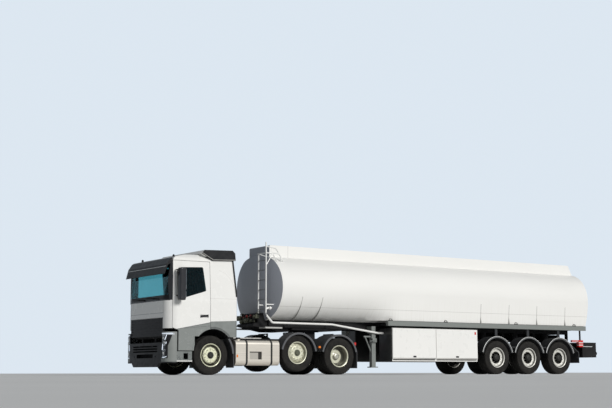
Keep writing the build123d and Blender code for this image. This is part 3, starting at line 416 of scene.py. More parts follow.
def tyre_material():
    """Rubber with fine rings and dust on the sidewall."""
    n = Nodes("tyre_rubber")
    radius = n.wheel_radius()
    base = n.mix(n.spread(n.noise(7.0), 0.0, 1.0), (0.010, 0.0095, 0.009),
                 (0.020, 0.019, 0.0175))
    dust = n.times(n.between(radius, 0.33, 0.50, 0.04), n.spread(n.noise(4.0), 0.0, 0.22))
    n.feed("Base Color", n.mix(dust, base, (0.06, 0.055, 0.048)))
    n.feed("Roughness", n.spread(n.noise(15.0), 0.7, 0.95))
    n.set(Specular_IOR_Level=0.2)
    n.bump(n.math("SINE", n.times(radius, 900.0)), 0.15, 0.001)
    return n.material


tyre_black = tyre_material()

# The belt's upper edge climbs from one (s, z) to the other and stops at BELT_TOP_Z.
BELT_FRONT = (-1.115, 1.174)
BELT_REAR = (-0.048, 1.377)
BELT_SLOPE = (BELT_REAR[1] - BELT_FRONT[1]) / (BELT_REAR[0] - BELT_FRONT[0])
BELT_TOP_Z = 1.40
CAB_CENTRE = (FRONT_AXLE_X + 0.3, 0.0, 2.05)


def cab_paint():
    """White over a grey belt; black round the windscreen, mirrors and handles; painted shade in
    the handles' recesses, along the lid's crease and along the belt's edge and a fold; dark
    inside.
    """
    n = finish_of("cab_paint", WHITE, 0.25, coat=0.5, vary=0.012, scale=1.2)
    s, width, height = n.along(), n.width(), n.height()
    level_seam = n.all_of(n.line(height, 2.0, 0.005), n.between(s, -0.07, 0.75))
    round_seam = n.all_of(n.line(n.radius_from(0.05, 2.15), 0.62, 0.005), n.above(height, 2.15),
                          n.above(s, 0.2))
    n.recolour(n.times(n.either(level_seam, round_seam), 0.35), (0.35, 0.34, 0.32))
    # Painted shade along the lid's crease
    lid_crease = n.all_of(n.line(height, 1.60, 0.008), n.under(width, 0.96), n.under(s, -1.25))
    n.recolour(n.times(lid_crease, 0.5), (0.10, 0.10, 0.12))
    belt_z = n.math("MINIMUM", n.plus(n.times(s, BELT_SLOPE),
                                      BELT_FRONT[1] - BELT_FRONT[0] * BELT_SLOPE), BELT_TOP_Z)
    behind_corner = n.over(s, -1.165)
    n.recolour(n.times(n.under(height, belt_z), behind_corner), GREY)
    # Painted shade: dark lines just under the belt's upper edge and along a fold below it
    edge = n.times(n.line(height, n.minus(belt_z, 0.010), 0.007), behind_corner)
    fold = n.times(n.line(n.minus(height, n.times(s, 0.10)), 1.285, 0.006),
                   n.between(s, -0.85, 0.10))
    n.recolour(n.times(n.either(edge, fold), 0.6), (0.09, 0.093, 0.095))
    n.recolour(n.all_of(n.under(s, -1.15), n.over(height, 1.917), n.under(width, 1.15)), BLACK)
    n.recolour(n.times(n.under(s, -1.168), n.between(height, 1.925, 2.96)), (0.010, 0.010, 0.012))
    n.recolour(n.facing(CAB_CENTRE), (0.02, 0.02, 0.021))
    n.recolour(n.over(width, 1.252), BLACK)
    # Painted shade in the recesses of the door handles
    handle_z = n.plus(n.times(s, 0.12), 1.558)
    n.recolour(n.all_of(n.between(s, -0.382, -0.132, 0.001), n.line(height, handle_z, 0.030),
                        n.over(width, 1.205)), DARK_AND_SHADE)
    return n.material


cab_white = cab_paint()

# Bumper: grey ends, a black middle and a smoked cover beside the headlamp, wider at the top
n = finish_of("bumper_paint", GREY, 0.42, coat=0.1, vary=0.05, scale=2.0, specular=0.3)
cover_s = n.plus(-1.275, n.times(n.either(0.0, n.minus(n.height(), 0.75)), 0.33))
lamp_cover = n.times(n.between(n.height(), 0.431, 1.084), n.under(n.along(), cover_s))
middle = n.either(n.under(n.width(), 0.93), n.under(n.height(), 0.34))
n.recolour(n.either(middle, lamp_cover), (0.010, 0.010, 0.012))
bumper_paint = n.material

n = finish_of("tread_paint", (0.80, 0.79, 0.76), 0.3, metal=0.6, vary=0.05, scale=3.0)
n.recolour(n.times(n.over(n.height(), 0.377), n.under(n.height(), 0.95)), GREY)
tread_paint = n.material

n = finish_of("cabinet_paint", (0.78, 0.775, 0.75), 0.35, coat=0.2, vary=0.03, scale=1.5)
n.recolour(n.either(n.over(n.split(n.place)["X"], x_at(5.984)), n.under(n.width(), 1.19)),
           (0.014, 0.014, 0.015))
cabinet_paint = n.material

n = finish_of("fin_paint", (0.012, 0.012, 0.014), 0.35, vary=0.15, scale=2.0, specular=0.3)
n.recolour(n.all_of(n.between(n.along(), -0.40, 0.45), n.under(n.width(), 1.195),
                    n.over(n.height(), 3.10)), WHITE)
fin_paint = n.material


def windscreen_glass():
    """Turquoise clear glass with a black printed border."""
    n = Nodes("windscreen_glass")
    lean = n.times(n.minus(n.height(), 1.95), 0.075)
    border = n.either(n.over(n.plus(n.width(), lean), 1.13),
                      n.either(n.under(n.height(), 2.06), n.over(n.height(), 2.80)))
    tint = n.mix(n.spread(n.noise(1.5), 0.0, 1.0), (0.14, 0.62, 0.72), (0.16, 0.66, 0.76))
    n.feed("Base Color", n.mix(border, tint, (0.008, 0.008, 0.009)))
    n.feed("Transmission Weight", n.minus(1.0, border))
    n.set(Roughness=0.02, IOR=1.3)
    return n.material


def side_window_glass():
    """Nearly black glass that is partly clear."""
    n = Nodes("side_glass")
    tint = (0.006, 0.016, 0.02)
    alpha = 0.30
    n.feed("Base Color", n.mix(n.spread(n.noise(1.5), 0.9, 1.1), tuple(c * 0.9 for c in tint),
                               tint))
    n.feed("Alpha", n.spread(n.noise(2.0), alpha * 0.96, alpha * 1.04))
    n.set(Roughness=0.04, Specular_IOR_Level=0.35)
    return n.material


screen_glass = windscreen_glass()
side_glass = side_window_glass()
mirror_glass = finish("mirror_glass", (0.75, 0.78, 0.80), 0.05, metal=1.0, vary=0.02)

NODE_MATERIALS = {
    "cab_shell": cab_white, "door_left": cab_white, "door_right": cab_white,
    "front_lid": cab_white, "cab_skirts": grey, "cab_trim": fin_paint, "cab_interior": fabric,
    "windscreen": screen_glass, "glass_left": side_glass, "glass_right": side_glass,
    "bumper": bumper_paint, "grille": black, "tractor_lamps": tractor_lens,
    "side_tanks": tank_metal, "treads": tread_paint, "tractor_mudguards": guard_paint,
    "tank": tank_white, "manhole_covers": aluminium, "ladder": ladder_paint,
    "trailer_frame": trailer_frame_paint, "landing_legs": rail_grey, "cabinets": cabinet_paint,
    "trailer_mudguards": guard_grey, "trailer_lamps": trailer_lens,
}
for name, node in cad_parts.items():
    if name.startswith("cabinet_door"):
        material = white
    elif name.startswith("tyre"):
        material = tyre_black
    elif name.startswith("rim"):
        material = wheel_silver
    else:
        material = NODE_MATERIALS.get(name, chassis)
    node.data.materials.clear()
    node.data.materials.append(material)


# Mesh building
class Piece:
    """Gathers boxes, bars and turned shapes in one mesh."""

    def __init__(self):
        self.bm = bmesh.new()

    def box(self, s, y, z, bevel=0.004):
        spans = [sorted(span) for span in ([x_at(end) for end in s], y, z)]
        made = bmesh.ops.create_cube(self.bm, size=1.0)["verts"]
        for v in made:
            v.co = [low + (share + 0.5) * (high - low)
                    for share, (low, high) in zip(v.co, spans)]
        if bevel:
            edges = list(dict.fromkeys(e for v in made for e in v.link_edges))
            bmesh.ops.bevel(self.bm, geom=edges, offset=bevel, segments=2, affect="EDGES",
                            profile=0.7)

    def circle(self, centre, side, up, radius, count):
        """Ring of vertices in the plane of side and up."""
        return [self.bm.verts.new(centre + radius * (math.cos(t) * side + math.sin(t) * up))
                for t in (2 * math.pi * k / count for k in range(count))]

    def ring_faces(self, rings, closed):
        for a, b in zip(rings, rings[1:] + ([rings[0]] if closed else [])):
            for i in range(len(a)):
                j = (i + 1) % len(a)
                self.bm.faces.new((a[i], a[j], b[j], b[i]))

    def capped(self, rings):
        self.ring_faces(rings, False)
        self.bm.faces.new(rings[0][::-1])
        self.bm.faces.new(rings[-1])

    def tube(self, points, radius, sides=12):
        points = [Vector(p) for p in points]
        rings = []
        side = None
        for i, p in enumerate(points):
            before = (p - points[i - 1]).normalized() if i else None
            after = (points[i + 1] - p).normalized() if i + 1 < len(points) else None
            along = ((before or after) + (after or before)).normalized()
            if side is None:
                side = along.orthogonal().normalized()
            side = (side - along * side.dot(along)).normalized()
            rings.append(self.circle(p, side, along.cross(side), radius, sides))
        self.capped(rings)

    def rings(self, centre, axis, profile, segments):
        """One ring of vertices for each (distance along the axis, radius) of the profile."""
        axis = Vector(axis).normalized()
        side = axis.orthogonal().normalized()
        up = axis.cross(side)
        return [self.circle(Vector(centre) + a * axis, side, up, r, segments) for a, r in profile]

    def turned(self, centre, axis, profile, segments=32):
        """Profile turned about the axis, with flat ends."""
        self.capped(self.rings(centre, axis, profile, segments))

    def hoop(self, centre, axis, profile, segments=32):
        """Closed profile turned about the axis, with a hole in the middle."""
        self.ring_faces(self.rings(centre, axis, profile, segments), True)

    def mesh(self, name):
        bmesh.ops.recalc_face_normals(self.bm, faces=self.bm.faces)
        # Bevels leave faces in an order that varies
        faces = sorted(self.bm.faces, key=lambda face: [v.co.to_tuple() for v in face.verts])
        self.bm.faces.sort(key={face: rank for rank, face in enumerate(faces)}.get)
        data = bpy.data.meshes.new(name)
        self.bm.to_mesh(data)
        self.bm.free()
        return data

    def done(self, name, material, body, slot):
        return place(name, self.mesh(name), material, body, slot)


def put(name, data):
    thing = bpy.data.objects.new(name, data)
    bpy.context.scene.collection.objects.link(thing)
    return thing


def place(name, data, material, body, slot, matrix=None):
    if not data.materials:
        data.materials.append(material)
    thing = put(name, data)
    if matrix is not None:
        thing.matrix_world = matrix
    for face in data.polygons:
        face.use_smooth = True
    data.set_sharp_from_angle(angle=math.radians(35))
    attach(thing, body)
    return thing


# Wheels, each mesh about its own axis, +Y outwards
ORIGIN = (0, 0, 0)
WHEEL_AXIS = (0, 1, 0)
# Cuts across the tread, by kind, and the sidewall from the shoulder to the bead: (inset from the
# widest place, radius, kind of cut)
CUT_DEPTHS = (0.0, 0.009, 0.005)
SIDEWALL = (
    (0.016, 0.500, 2), (0.006, 0.470, 2), (0.002, 0.440, 0), (0.004, 0.4385, 0),
    (0.0005, 0.425, 0), (0, 0.400, 0), (0.003, 0.398, 0), (0.003, 0.380, 0), (0, 0.376, 0),
    (0.003, 0.345, 0), (0.009, 0.326, 0), (0.013, 0.322, 0), (0.016, 0.311, 0),
    (0.022, 0.3085, 0), (0.024, BEAD_R, 0))


def tyre_mesh(name, width, segments=180):
    """Tyre with four grooves round it and cross cuts on the shoulder ribs."""
    h = width / 2
    edge = h - 0.030
    floor_r = TYRE_R - 0.011
    tread = [(-edge, TYRE_R - 0.004, 1)]
    for centre in (-0.55, -0.19, 0.19, 0.55):
        g = centre * edge
        shoulder = 1 if abs(centre) > 0.5 else 0
        tread += [(g - 0.007, TYRE_R, shoulder if centre < 0 else 0), (g - 0.004, floor_r, 0),
                  (g + 0.004, floor_r, 0), (g + 0.007, TYRE_R, shoulder if centre > 0 else 0)]
    tread.append((edge, TYRE_R - 0.004, 1))
    wall = [(h - inset, r, cut) for inset, r, cut in SIDEWALL]
    piece = Piece()
    rings = []
    for a, r, cut in [(-a, r, cut) for a, r, cut in reversed(wall)] + tread + wall:
        ring = []
        for i in range(segments):
            t = 2 * math.pi * i / segments
            cut_r = r - (0.0 if i % 4 else CUT_DEPTHS[cut])
            ring.append(piece.bm.verts.new((cut_r * math.cos(t), a, cut_r * math.sin(t))))
        rings.append(ring)
    piece.ring_faces(rings, True)
    return piece.mesh(name)


def disc_with_holes(piece, profile, holes, hole_r, middle, start, end, thick):
    """Wheel disc between radii start and end, its face at profile(r), pierced by hand holes."""
    steps = 6
    half = math.pi / holes
    shares = [i / steps for i in range(steps)]
    corners = ([(start, -half + 2 * half * u) for u in shares]
               + [(start + (end - start) * u, half) for u in shares]
               + [(end, half - 2 * half * u) for u in shares]
               + [(end - (end - start) * u, -half) for u in shares])
    for k in range(holes):
        base = 2 * math.pi * k / holes
        outer, rim, back = [], [], []
        for r, t in corners:
            flat = Vector((r * math.cos(t) - middle, r * math.sin(t)))
            flat.normalize()
            hx, hy = middle + hole_r * flat.x, hole_r * flat.y
            hr, ht = math.hypot(hx, hy), math.atan2(hy, hx)
            for ring, pr, pt, depth in ((outer, r, t, 0), (rim, hr, ht, 0), (back, hr, ht, thick)):
                ring.append(piece.bm.verts.new((pr * math.cos(base + pt), profile(pr) - depth,
                                                pr * math.sin(base + pt))))
        piece.ring_faces([outer, rim, back], False)


def nuts(piece, count, circle, face, radius=0.017, tall=0.034):
    for k in range(count):
        t = 2 * math.pi * (k + 0.5) / count
        piece.turned((circle * math.cos(t), face, circle * math.sin(t)), WHEEL_AXIS,
                     [(-0.002, radius * 1.3), (0.005, radius * 1.3), (0.006, radius),
                      (tall * 0.7, radius), (tall, radius * 0.5)], 8)


# Half sections of the rim, (place beyond the bead's edge, radius), from the flange inwards
RIM_OUTSIDE = ((0.009, 0.302), (0.006, 0.3065), (0, 0.3065), (-0.002, 0.296), (-0.010, 0.2855),
               (-0.06, 0.2845), (-0.085, 0.262))
RIM_INSIDE = ((0.004, 0.290), (-0.008, 0.2755), (-0.055, 0.2725), (-0.080, 0.252))


def barrel(piece, width):
    outside, inside = ([(width / 2 - 0.018 + a, r) for a, r in half]
                       for half in (RIM_OUTSIDE, RIM_INSIDE))
    piece.hoop(ORIGIN, WHEEL_AXIS, [(-a, r) for a, r in outside] + outside[::-1] + inside
               + [(-a, r) for a, r in inside[::-1]], 72)


def rim_mesh(name, width, root, face, hole_r):
    """Rim with its pierced disc and nuts."""
    piece = Piece()
    barrel(piece, width)

    def profile(r):
        if r < 0.180:
            return face
        t = min(1.0, (r - 0.180) / 0.090)
        return face + (root - face) * (t * t * (3 - 2 * t))

    disc_with_holes(piece, profile, 10, hole_r, 0.229, 0.186, 0.272, 0.014)
    piece.turned(ORIGIN, WHEEL_AXIS,
                 [(face, 0.1862), (face, 0.110), (face - 0.014, 0.110), (face - 0.014, 0.1862),
                  (root - 0.02, 0.262), (root - 0.02, 0.268)], 60)
    nuts(piece, 10, 0.1675, face)
    return piece.mesh(name)


def hub_mesh(name, base, top, radius, bolts):
    """Hub and its cap, with a ring of small bolts."""
    piece = Piece()
    tall = top - base
    piece.turned(ORIGIN, WHEEL_AXIS, [
        (base - 0.01, 0.001), (base - 0.01, radius + 0.018), (base + 0.006, radius + 0.018),
        (base + 0.010, radius), (base + tall * 0.55, radius * 0.94),
        (base + tall * 0.6, radius * 0.78), (top - 0.012, radius * 0.74),
        (top - 0.002, radius * 0.62), (top, radius * 0.3), (top, 0.001)], 48)
    for k in range(bolts):
        t = 2 * math.pi * k / bolts
        r = radius * 0.86
        piece.turned((r * math.cos(t), base + tall * 0.5, r * math.sin(t)), WHEEL_AXIS,
                     [(0, 0.008), (0.014, 0.008), (0.016, 0.005)], 6)
    return piece.mesh(name)


def drum_mesh(name, outer, inner=-0.06):
    """Brake drum behind the disc, seen through its hand holes."""
    piece = Piece()
    piece.hoop(ORIGIN, WHEEL_AXIS, [(outer, 0.100), (outer, 0.236), (outer - 0.012, 0.250),
                                    (inner, 0.250), (inner, 0.100)], 48)
    return piece.mesh(name)


TRACTOR_TYRE, TWIN_TYRE, TRAILER_TYRE = 0.300, 0.285, 0.385
meshes = {mesh.name: mesh for mesh in (
    drum_mesh("drum_tractor", 0.038),
    drum_mesh("drum_trailer", 0.085),
    tyre_mesh("tyre_tractor", TRACTOR_TYRE),
    tyre_mesh("tyre_twin", TWIN_TYRE),
    tyre_mesh("tyre_trailer", TRAILER_TYRE),
    rim_mesh("rim_tractor", TRACTOR_TYRE, 0.062, 0.118, 0.033),
    rim_mesh("rim_twin", TWIN_TYRE, -0.05, -0.144, 0.023),
    rim_mesh("rim_trailer", TRAILER_TYRE, 0.125, 0.112, 0.017),
    hub_mesh("hub_front", 0.104, 0.160, 0.092, 8),
    hub_mesh("hub_twin", -0.145, 0.006, 0.115, 10),
    hub_mesh("hub_trailer", 0.100, 0.176, 0.118, 10),
)}


def wheel_matrix(s, y, z, side):
    turn = Matrix.Identity(4) if side > 0 else Matrix.Rotation(math.pi, 4, "Z")
    return Matrix.Translation(point(s, y, z)) @ turn


# axle, s, y, z, tyre and rim, hub, rim paint, hub paint
WHEELS = [
    ("front", 0.0, 1.005, TYRE_R, "tractor", "front", wheel_bright, hub_dark),
    ("lift", LIFT_AXLE_S, 1.005, LIFT_WHEEL_Z, "tractor", "front", wheel_silver, hub_green),
]
WHEELS += [(f"trailer_{number}", s, 1.020, TYRE_R, "trailer", "trailer", wheel_white, hub_dark)
           for number, s in enumerate(TRAILER_AXLES_S, 1)]
for axle, s, y, z, kind, hub_kind, paint, hub_paint in WHEELS:
    rim_data = meshes[f"rim_{kind}"].copy()
    hub_data = meshes[f"hub_{hub_kind}"].copy()
    for side_name, side in SIDES:
        tail = f"{axle}_{side_name}"
        body = f"wheel_{tail}"
        at = wheel_matrix(s, side * y, z, side)
        tyre = place(f"treaded_tyre_{tail}", meshes[f"tyre_{kind}"], tyre_black, body, "tyre", at)
        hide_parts(f"tyre_{tail}")
        rim = place(f"pierced_rim_{tail}", rim_data, paint, body, "wheel_silver", at)
        place(f"hub_{tail}", hub_data, hub_paint, body, "wheel_silver", at)
        place(f"drum_{tail}", meshes[f"drum_{kind}"], hub_dark, body, "wheel_silver", at)
        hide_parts(f"rim_{tail}")

for side_name, side in SIDES:
    body = f"wheels_drive_{side_name}"
    outer = wheel_matrix(DRIVE_AXLE_S, side * 1.075, TYRE_R, side)
    twins = (("outer", outer), ("inner", wheel_matrix(DRIVE_AXLE_S, side * 0.750, TYRE_R, -side)))
    tyres = [place(f"treaded_tyre_drive_{twin}_{side_name}", meshes["tyre_twin"], tyre_black, body,
                   "tyre", at) for twin, at in twins]
    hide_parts(f"tyres_drive_{side_name}")
    rims = [place(f"pierced_rim_drive_{twin}_{side_name}", meshes["rim_twin"], wheel_deep, body,
                  "wheel_silver", at) for twin, at in twins]
    place(f"hub_drive_{side_name}", meshes["hub_twin"], hub_silver, body, "wheel_silver", outer)
    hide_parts(f"rims_drive_{side_name}")


# Small parts of the tractor
def pair(name, material, body, slot, build):
    """The same piece on both sides; {} in the body's name stands for the side."""
    for side_name, side in SIDES:
        piece = Piece()
        build(piece, side)
        piece.done(f"{name}_{side_name}", material, body.format(side_name), slot)


def box_pair(name, material, body, slot, *boxes):
    """Boxes on both sides, each given as (s, y, z, bevel) of the left one."""
    def build(piece, side):
        for s, y, z, bevel in boxes:
            piece.box(s, (side * y[0], side * y[1]), z, bevel)

    pair(name, material, body, slot, build)


def cab_front(y, z):
    """Place s of the cab's front face, between its rounded corners."""
    lean = 0.015 * (z - 1.5) / 0.44 if z < 1.94 else 0.015 + 0.110 * (z - 1.94) / 0.94
    return -1.345 + max(0.0, lean) + 0.045 * (y / 1.245) ** 2


def bumper_front(y):
    """The same for the bumper, whose corners are round."""
    y = abs(y)
    if y < 1.015:
        return -1.365 + 0.045 * (y / 1.245) ** 2
    return -1.105 - math.sqrt(max(0.0, 0.23 ** 2 - (y - 1.015) ** 2))


box_pair("mirror_face", mirror_glass, "door_{}", "glass",
         ((-0.929, -0.922), (1.345, 1.475), (2.19, 2.70), 0.003),
         ((-0.929, -0.922), (1.345, 1.475), (1.97, 2.14), 0.003))

wipers = Piece()
for pivot_y in (0.72, -0.12):
    wipers.turned(point(cab_front(pivot_y, 1.95) - 0.006, pivot_y, 1.955), (1, 0, 0),
                  [(-0.02, 0.020), (0.012, 0.020), (0.016, 0.012)], 16)
    wipers.tube([point(cab_front(pivot_y - d, 1.955 + h) - 0.018, pivot_y - d, 1.955 + h)
                 for d, h in ((0.0, 0.0), (0.20, 0.018), (0.42, 0.040))], 0.008)
    wipers.tube([point(cab_front(pivot_y - d, 1.99 + 0.04 * d) - 0.012, pivot_y - d,
                       1.985 + 0.05 * d) for d in (0.05, 0.25, 0.45, 0.65, 0.78)], 0.007)
wipers.done("wipers", soft_black, "cab", "black_plastic")

# Painted highlight: a bright tube along the visor's crease
crease = Piece()
crease.tube([point(-1.3545, -1.145, 2.80), point(-1.3545, 1.145, 2.80)], 0.0065)
crease.done("visor_crease", bright, "cab", "bright_aluminium")


def fin_frame(piece, side):
    piece.tube([point(s, side * 1.2165, z) for s, z in
                ((-0.318, 3.197), (0.004, 3.024), (0.686, 3.047))], 0.010, 8)


pair("fin_frame", aluminium, "cab", "bright_aluminium", fin_frame)

marker = Piece()
for y in (0.92, -0.92):
    marker.turned(point(-1.02, y, 3.095), (0, 0, 1),
                  [(-0.03, 0.030), (0.02, 0.030), (0.045, 0.016)], 16)
marker.done("roof_markers", soft_black, "cab", "black_plastic")

# Glowing strips on the headlamp: the top one a running lamp, the others painted highlights; (y, z)
# points on the bumper's face, and the radius
LAMP_AND_HIGHLIGHT_STRIPS = (
    ([(0.965 + 0.27 * i / 12, 1.066) for i in range(13)], 0.010),
    (((1.14, 1.03), (1.09, 0.90)), 0.011),
    (((1.00, 0.80), (0.98, 0.64)), 0.011),
    (((1.13, 0.85), (1.12, 0.80)), 0.011),
    (((0.985, 0.455), (1.06, 0.450), (1.14, 0.475)), 0.011),
)


def lamp_and_highlight_strip(piece, side):
    for run, radius in LAMP_AND_HIGHLIGHT_STRIPS:
        piece.tube([point(bumper_front(y) - 0.001, side * y, z) for y, z in run], radius, 8)


def reflectors(piece, side):
    for y, z, r in ((1.020, 0.95, 0.034), (1.060, 0.835, 0.030), (1.030, 0.56, 0.038)):
        piece.turned(point(bumper_front(y) + 0.004, side * y, z), (1, 0, 0),
                     [(-0.01, 0.001), (-0.01, r), (0.008, r), (0.010, r * 0.86), (0.003, r * 0.8),
                      (0.000, r * 0.45), (0.004, 0.001)], 20)


pair("lamp_and_highlight_strip", lamp_and_highlight_glow, "tractor", "lamp", lamp_and_highlight_strip)
pair("lamp_reflectors", bright, "tractor", "lamp", reflectors)

# Dark ribbed screen behind the bumper's slots
radiator = Piece()
radiator.box((-1.262, -1.25), (-0.76, 0.76), (0.40, 0.80), 0.003)
for row in range(14):
    z = 0.415 + 0.028 * row
    radiator.box((-1.272, -1.262), (-0.75, 0.75), (z, z + 0.008), 0)
radiator.done("radiator_screen", soft_black, "tractor", "black_plastic")


def arc_points(s, z, r, start, end, y, steps=24):
    angles = [math.radians(start + (end - start) * i / steps) for i in range(steps + 1)]
    return [point(s - r * math.cos(a), y, z + r * math.sin(a)) for a in angles]


def arch_liner(piece, side):
    """Inside of the front wheel's arch: a bent sheet and the wall that closes it."""
    inner_y, outer_y, sheet_thick, wall_thick = 0.66, 1.13, 0.003, 0.004
    low_z, roof_z, rear_s = 1.065, 1.204, 0.80
    sheet = arc_points(ARCH_S, ARCH_Z, 0.592, 20, 145, 0)
    for a, b in zip(sheet, sheet[1:]):
        v = [piece.bm.verts.new((p.x, side * y, p.z + up)) for up in (0, sheet_thick)
             for p, y in ((a, inner_y), (b, inner_y), (b, outer_y), (a, outer_y))]
        for face in ((0, 1, 2, 3), (7, 6, 5, 4), (0, 4, 5, 1), (1, 5, 6, 2), (2, 6, 7, 3),
                     (3, 7, 4, 0)):
            piece.bm.faces.new([v[k] for k in face])
    high = [p for p in sheet if p.z > 1.07 and p.x > x_at(ARCH_S)]
    high += [point(ARCH_S, 0, roof_z), point(rear_s, 0, roof_z)]
    for y in (inner_y, inner_y + wall_thick):
        piece.bm.faces.new([piece.bm.verts.new((p.x, side * y, p.z)) for p in high]
                           + [piece.bm.verts.new((p.x, side * y, low_z))
                              for p in (high[-1], high[0])])


box_pair("amber_markers", amber, "tractor", "lamp",
         ((0.735, 0.775), (1.229, 1.238), (0.465, 0.535), 0.002),
         ((3.385, 3.455), (1.196, 1.222), (0.735, 0.79), 0.004))
pair("arch_liner", soft_black, "cab", "black_plastic", arch_liner)


def marker_brackets(piece, side):
    piece.box((3.345, 3.50), (side * 1.188, side * 1.196), (0.715, 0.815), 0.002)
    piece.turned(point(3.42, side * 1.196, 0.69), (0, side, 0),
                 [(-0.008, 0.03), (0.01, 0.03), (0.014, 0.02)], 16)


def filler(piece, side):
    piece.turned(point(0.860, side * 1.080, 0.950), (0, 0, 1),
                 [(0.0, 0.066), (0.028, 0.066), (0.034, 0.058), (0.036, 0.001)], 28)
    piece.box((0.80, 0.92), (side * 1.075, side * 1.085), (0.98, 0.994), 0.002)


pair("marker_bracket", soft_black, "tractor", "black_plastic", marker_brackets)
box_pair("guard_lamp", red, "tractor", "red_lamp",
         ((4.604, 4.665), (1.13, 1.234), (0.825, 0.905), 0.006))
pair("filler_cap", soft_black, "tractor", "black_plastic", filler)
box_pair("step_grip", aluminium, "tractor", "bright_aluminium",
         *[((s - 0.02, s + 0.02), (0.92, 1.22), (0.374, 0.380), 0.001)
           for s in (-1.0, -0.93, -0.86, -0.79, -0.72, -0.65)])


# Small parts of the trailer
def guard_edges(piece, side):
    for s in TRAILER_AXLES_S:
        piece.tube(arc_points(s, TYRE_R, 0.649, 15, 165, side * 1.236), 0.006, 8)


def rail_fittings(piece, side):
    for s in (5.95, 8.05, 10.95, 13.55):
        piece.box((s - 0.07, s + 0.07), (side * 1.165, side * 1.215),
                  (SIDE_RAIL_TOP_Z, SIDE_RAIL_TOP_Z + 0.023), 0.004)
        piece.tube([point(s + ds, side * 1.19, z) for ds, z in
                    ((-0.05, 1.570), (-0.03, 1.615), (0.05, 1.600), (0.055, 1.570))], 0.009, 8)


pair("guard_edge", pipe_grey, "trailer", "mudguard_grey", guard_edges)
pair("rail_fitting", soft_black, "trailer", "chassis_paint", rail_fittings)

for door, start, end in (("front", 5.990, 7.620), ("rear", 7.640, 9.270)):
    body = f"cabinet_door_{door}_{{}}"
    middle = (start + end) / 2
    box_pair(f"door_strip_{door}", aluminium, body, "bright_aluminium",
             ((start + 0.01, end - 0.01), (DOOR_FACE_Y, 1.2375), (0.448, 0.486), 0.0015))
    box_pair(f"door_latch_{door}", soft_black, body, "black_plastic",
             ((middle - 0.055, middle + 0.055), (DOOR_FACE_Y, 1.241), (0.500, 0.545), 0.003),
             ((middle - 0.035, middle + 0.035), (1.240, 1.2455), (0.515, 0.530), 0.002))
    if door == "rear":
        box_pair("door_mark", red, body, "red_lamp",
                 ((end - 0.11, end - 0.05), (DOOR_FACE_Y, 1.2375), (1.20, 1.28), 0.0015))
box_pair("rear_stripe", blank, "trailer", "white_paint",
         ((13.965, 14.42), (1.149, 1.1525), (0.888, 0.906), 0.001))
for name, material, slot, y in (("red", red, "red_lamp", (0.90, 1.10)),
                                ("amber", amber, "lamp", (0.68, 0.89)),
                                ("clear", clear, "lamp", (0.46, 0.67))):
    box_pair(f"rear_lens_{name}", material, "trailer", slot,
             ((REAR_FACE_S, REAR_FACE_S + 0.006), y, (0.775, 0.925), 0.003))

plate = Piece()
plate.box((REAR_FACE_S, REAR_FACE_S + 0.005), (-0.26, 0.26), (0.60, 0.715), 0.002)
plate.done("blank_plate", blank, "trailer", "white_paint")

couplings = Piece()
for y, z in ((0.30, 1.60), (0.12, 1.62), (-0.10, 1.62), (-0.30, 1.60)):
    couplings.turned(point(1.862, y, z), (1, 0, 0.2),
                     [(0, 0.040), (0.05, 0.040), (0.06, 0.030), (0.06, 0.001)], 20)
couplings.done("coupling_heads", dull_red, "trailer", "red_lamp")

hoses = Piece()
for y, drop in ((0.36, 0.20), (0.24, 0.24), (-0.22, 0.22)):
    hoses.tube([point(1.865, y, 1.66), point(1.80, y, 1.67), point(1.76, y + 0.01, 1.60),
                point(1.75, y + 0.02, 1.67 - drop), point(1.80, y + 0.03, 1.415)], 0.016, 10)
hoses.done("stowed_hoses", soft_black, "trailer", "black_plastic")

# Lower flanks behind the landing legs: a skin from the weld line down to the side rail and round
# the rear end, as (height, half width) where it has left the barrel
FLANK = ((2.360, 1.2484), (2.250, 1.2402), (2.120, 1.2290), (1.990, 1.2175), (1.870, 1.2075),
         (1.760, 1.1985), (1.660, 1.1905), (1.562, 1.1830))
FLANK_START_S, FLANK_FULL_S, FLANK_END_S = 4.9, 6.4, 14.0
FLANK_THICK = 0.005


def skin_y(z):
    """Half width of the tank's barrel at a height."""
    return SIDE_ARC_Y + math.sqrt(SIDE_ARC_R ** 2 - (z - TANK_Z) ** 2)


def head_s(y, z):
    """The rear end's place on the sphere that domes it."""
    return REAR_SPHERE_S + math.sqrt(HEAD_SPHERE_R ** 2 - y * y - (z - TANK_Z) ** 2)


def flank_ring(z, full_y, thick):
    """Outline at one height, from the left flank round the rear end to the right one."""
    half = []
    for i in range(13):
        t = i / 12
        share = t * t * (3 - 2 * t)
        half.append((FLANK_START_S + (FLANK_FULL_S - FLANK_START_S) * t,
                     (skin_y(z) - 0.004) * (1 - share) + full_y * share - thick))
    half += [(FLANK_FULL_S + (FLANK_END_S - FLANK_FULL_S) * i / 14, full_y - thick)
             for i in range(1, 15)]
    half += [(head_s(y, z) - thick, y) for y in
             ((full_y - thick) * (1 - i / 12) for i in range(12))]
    return half + [(head_s(0.0, z) - thick, 0.0)] + [(s, -y) for s, y in reversed(half)]


flank = Piece()
levels = [(z, y, 0) for z, y in FLANK] + [(z, y, FLANK_THICK) for z, y in reversed(FLANK)]
loop = [[flank.bm.verts.new(point(s, y, z)) for s, y in flank_ring(z, full_y, thick)]
        for z, full_y, thick in levels]
for a, b in zip(loop, loop[1:] + loop[:1]):
    for i in range(len(a) - 1):
        flank.bm.faces.new((a[i], a[i + 1], b[i + 1], b[i]))
flank.done("lower_flanks", tank_white, "trailer", "white_paint")

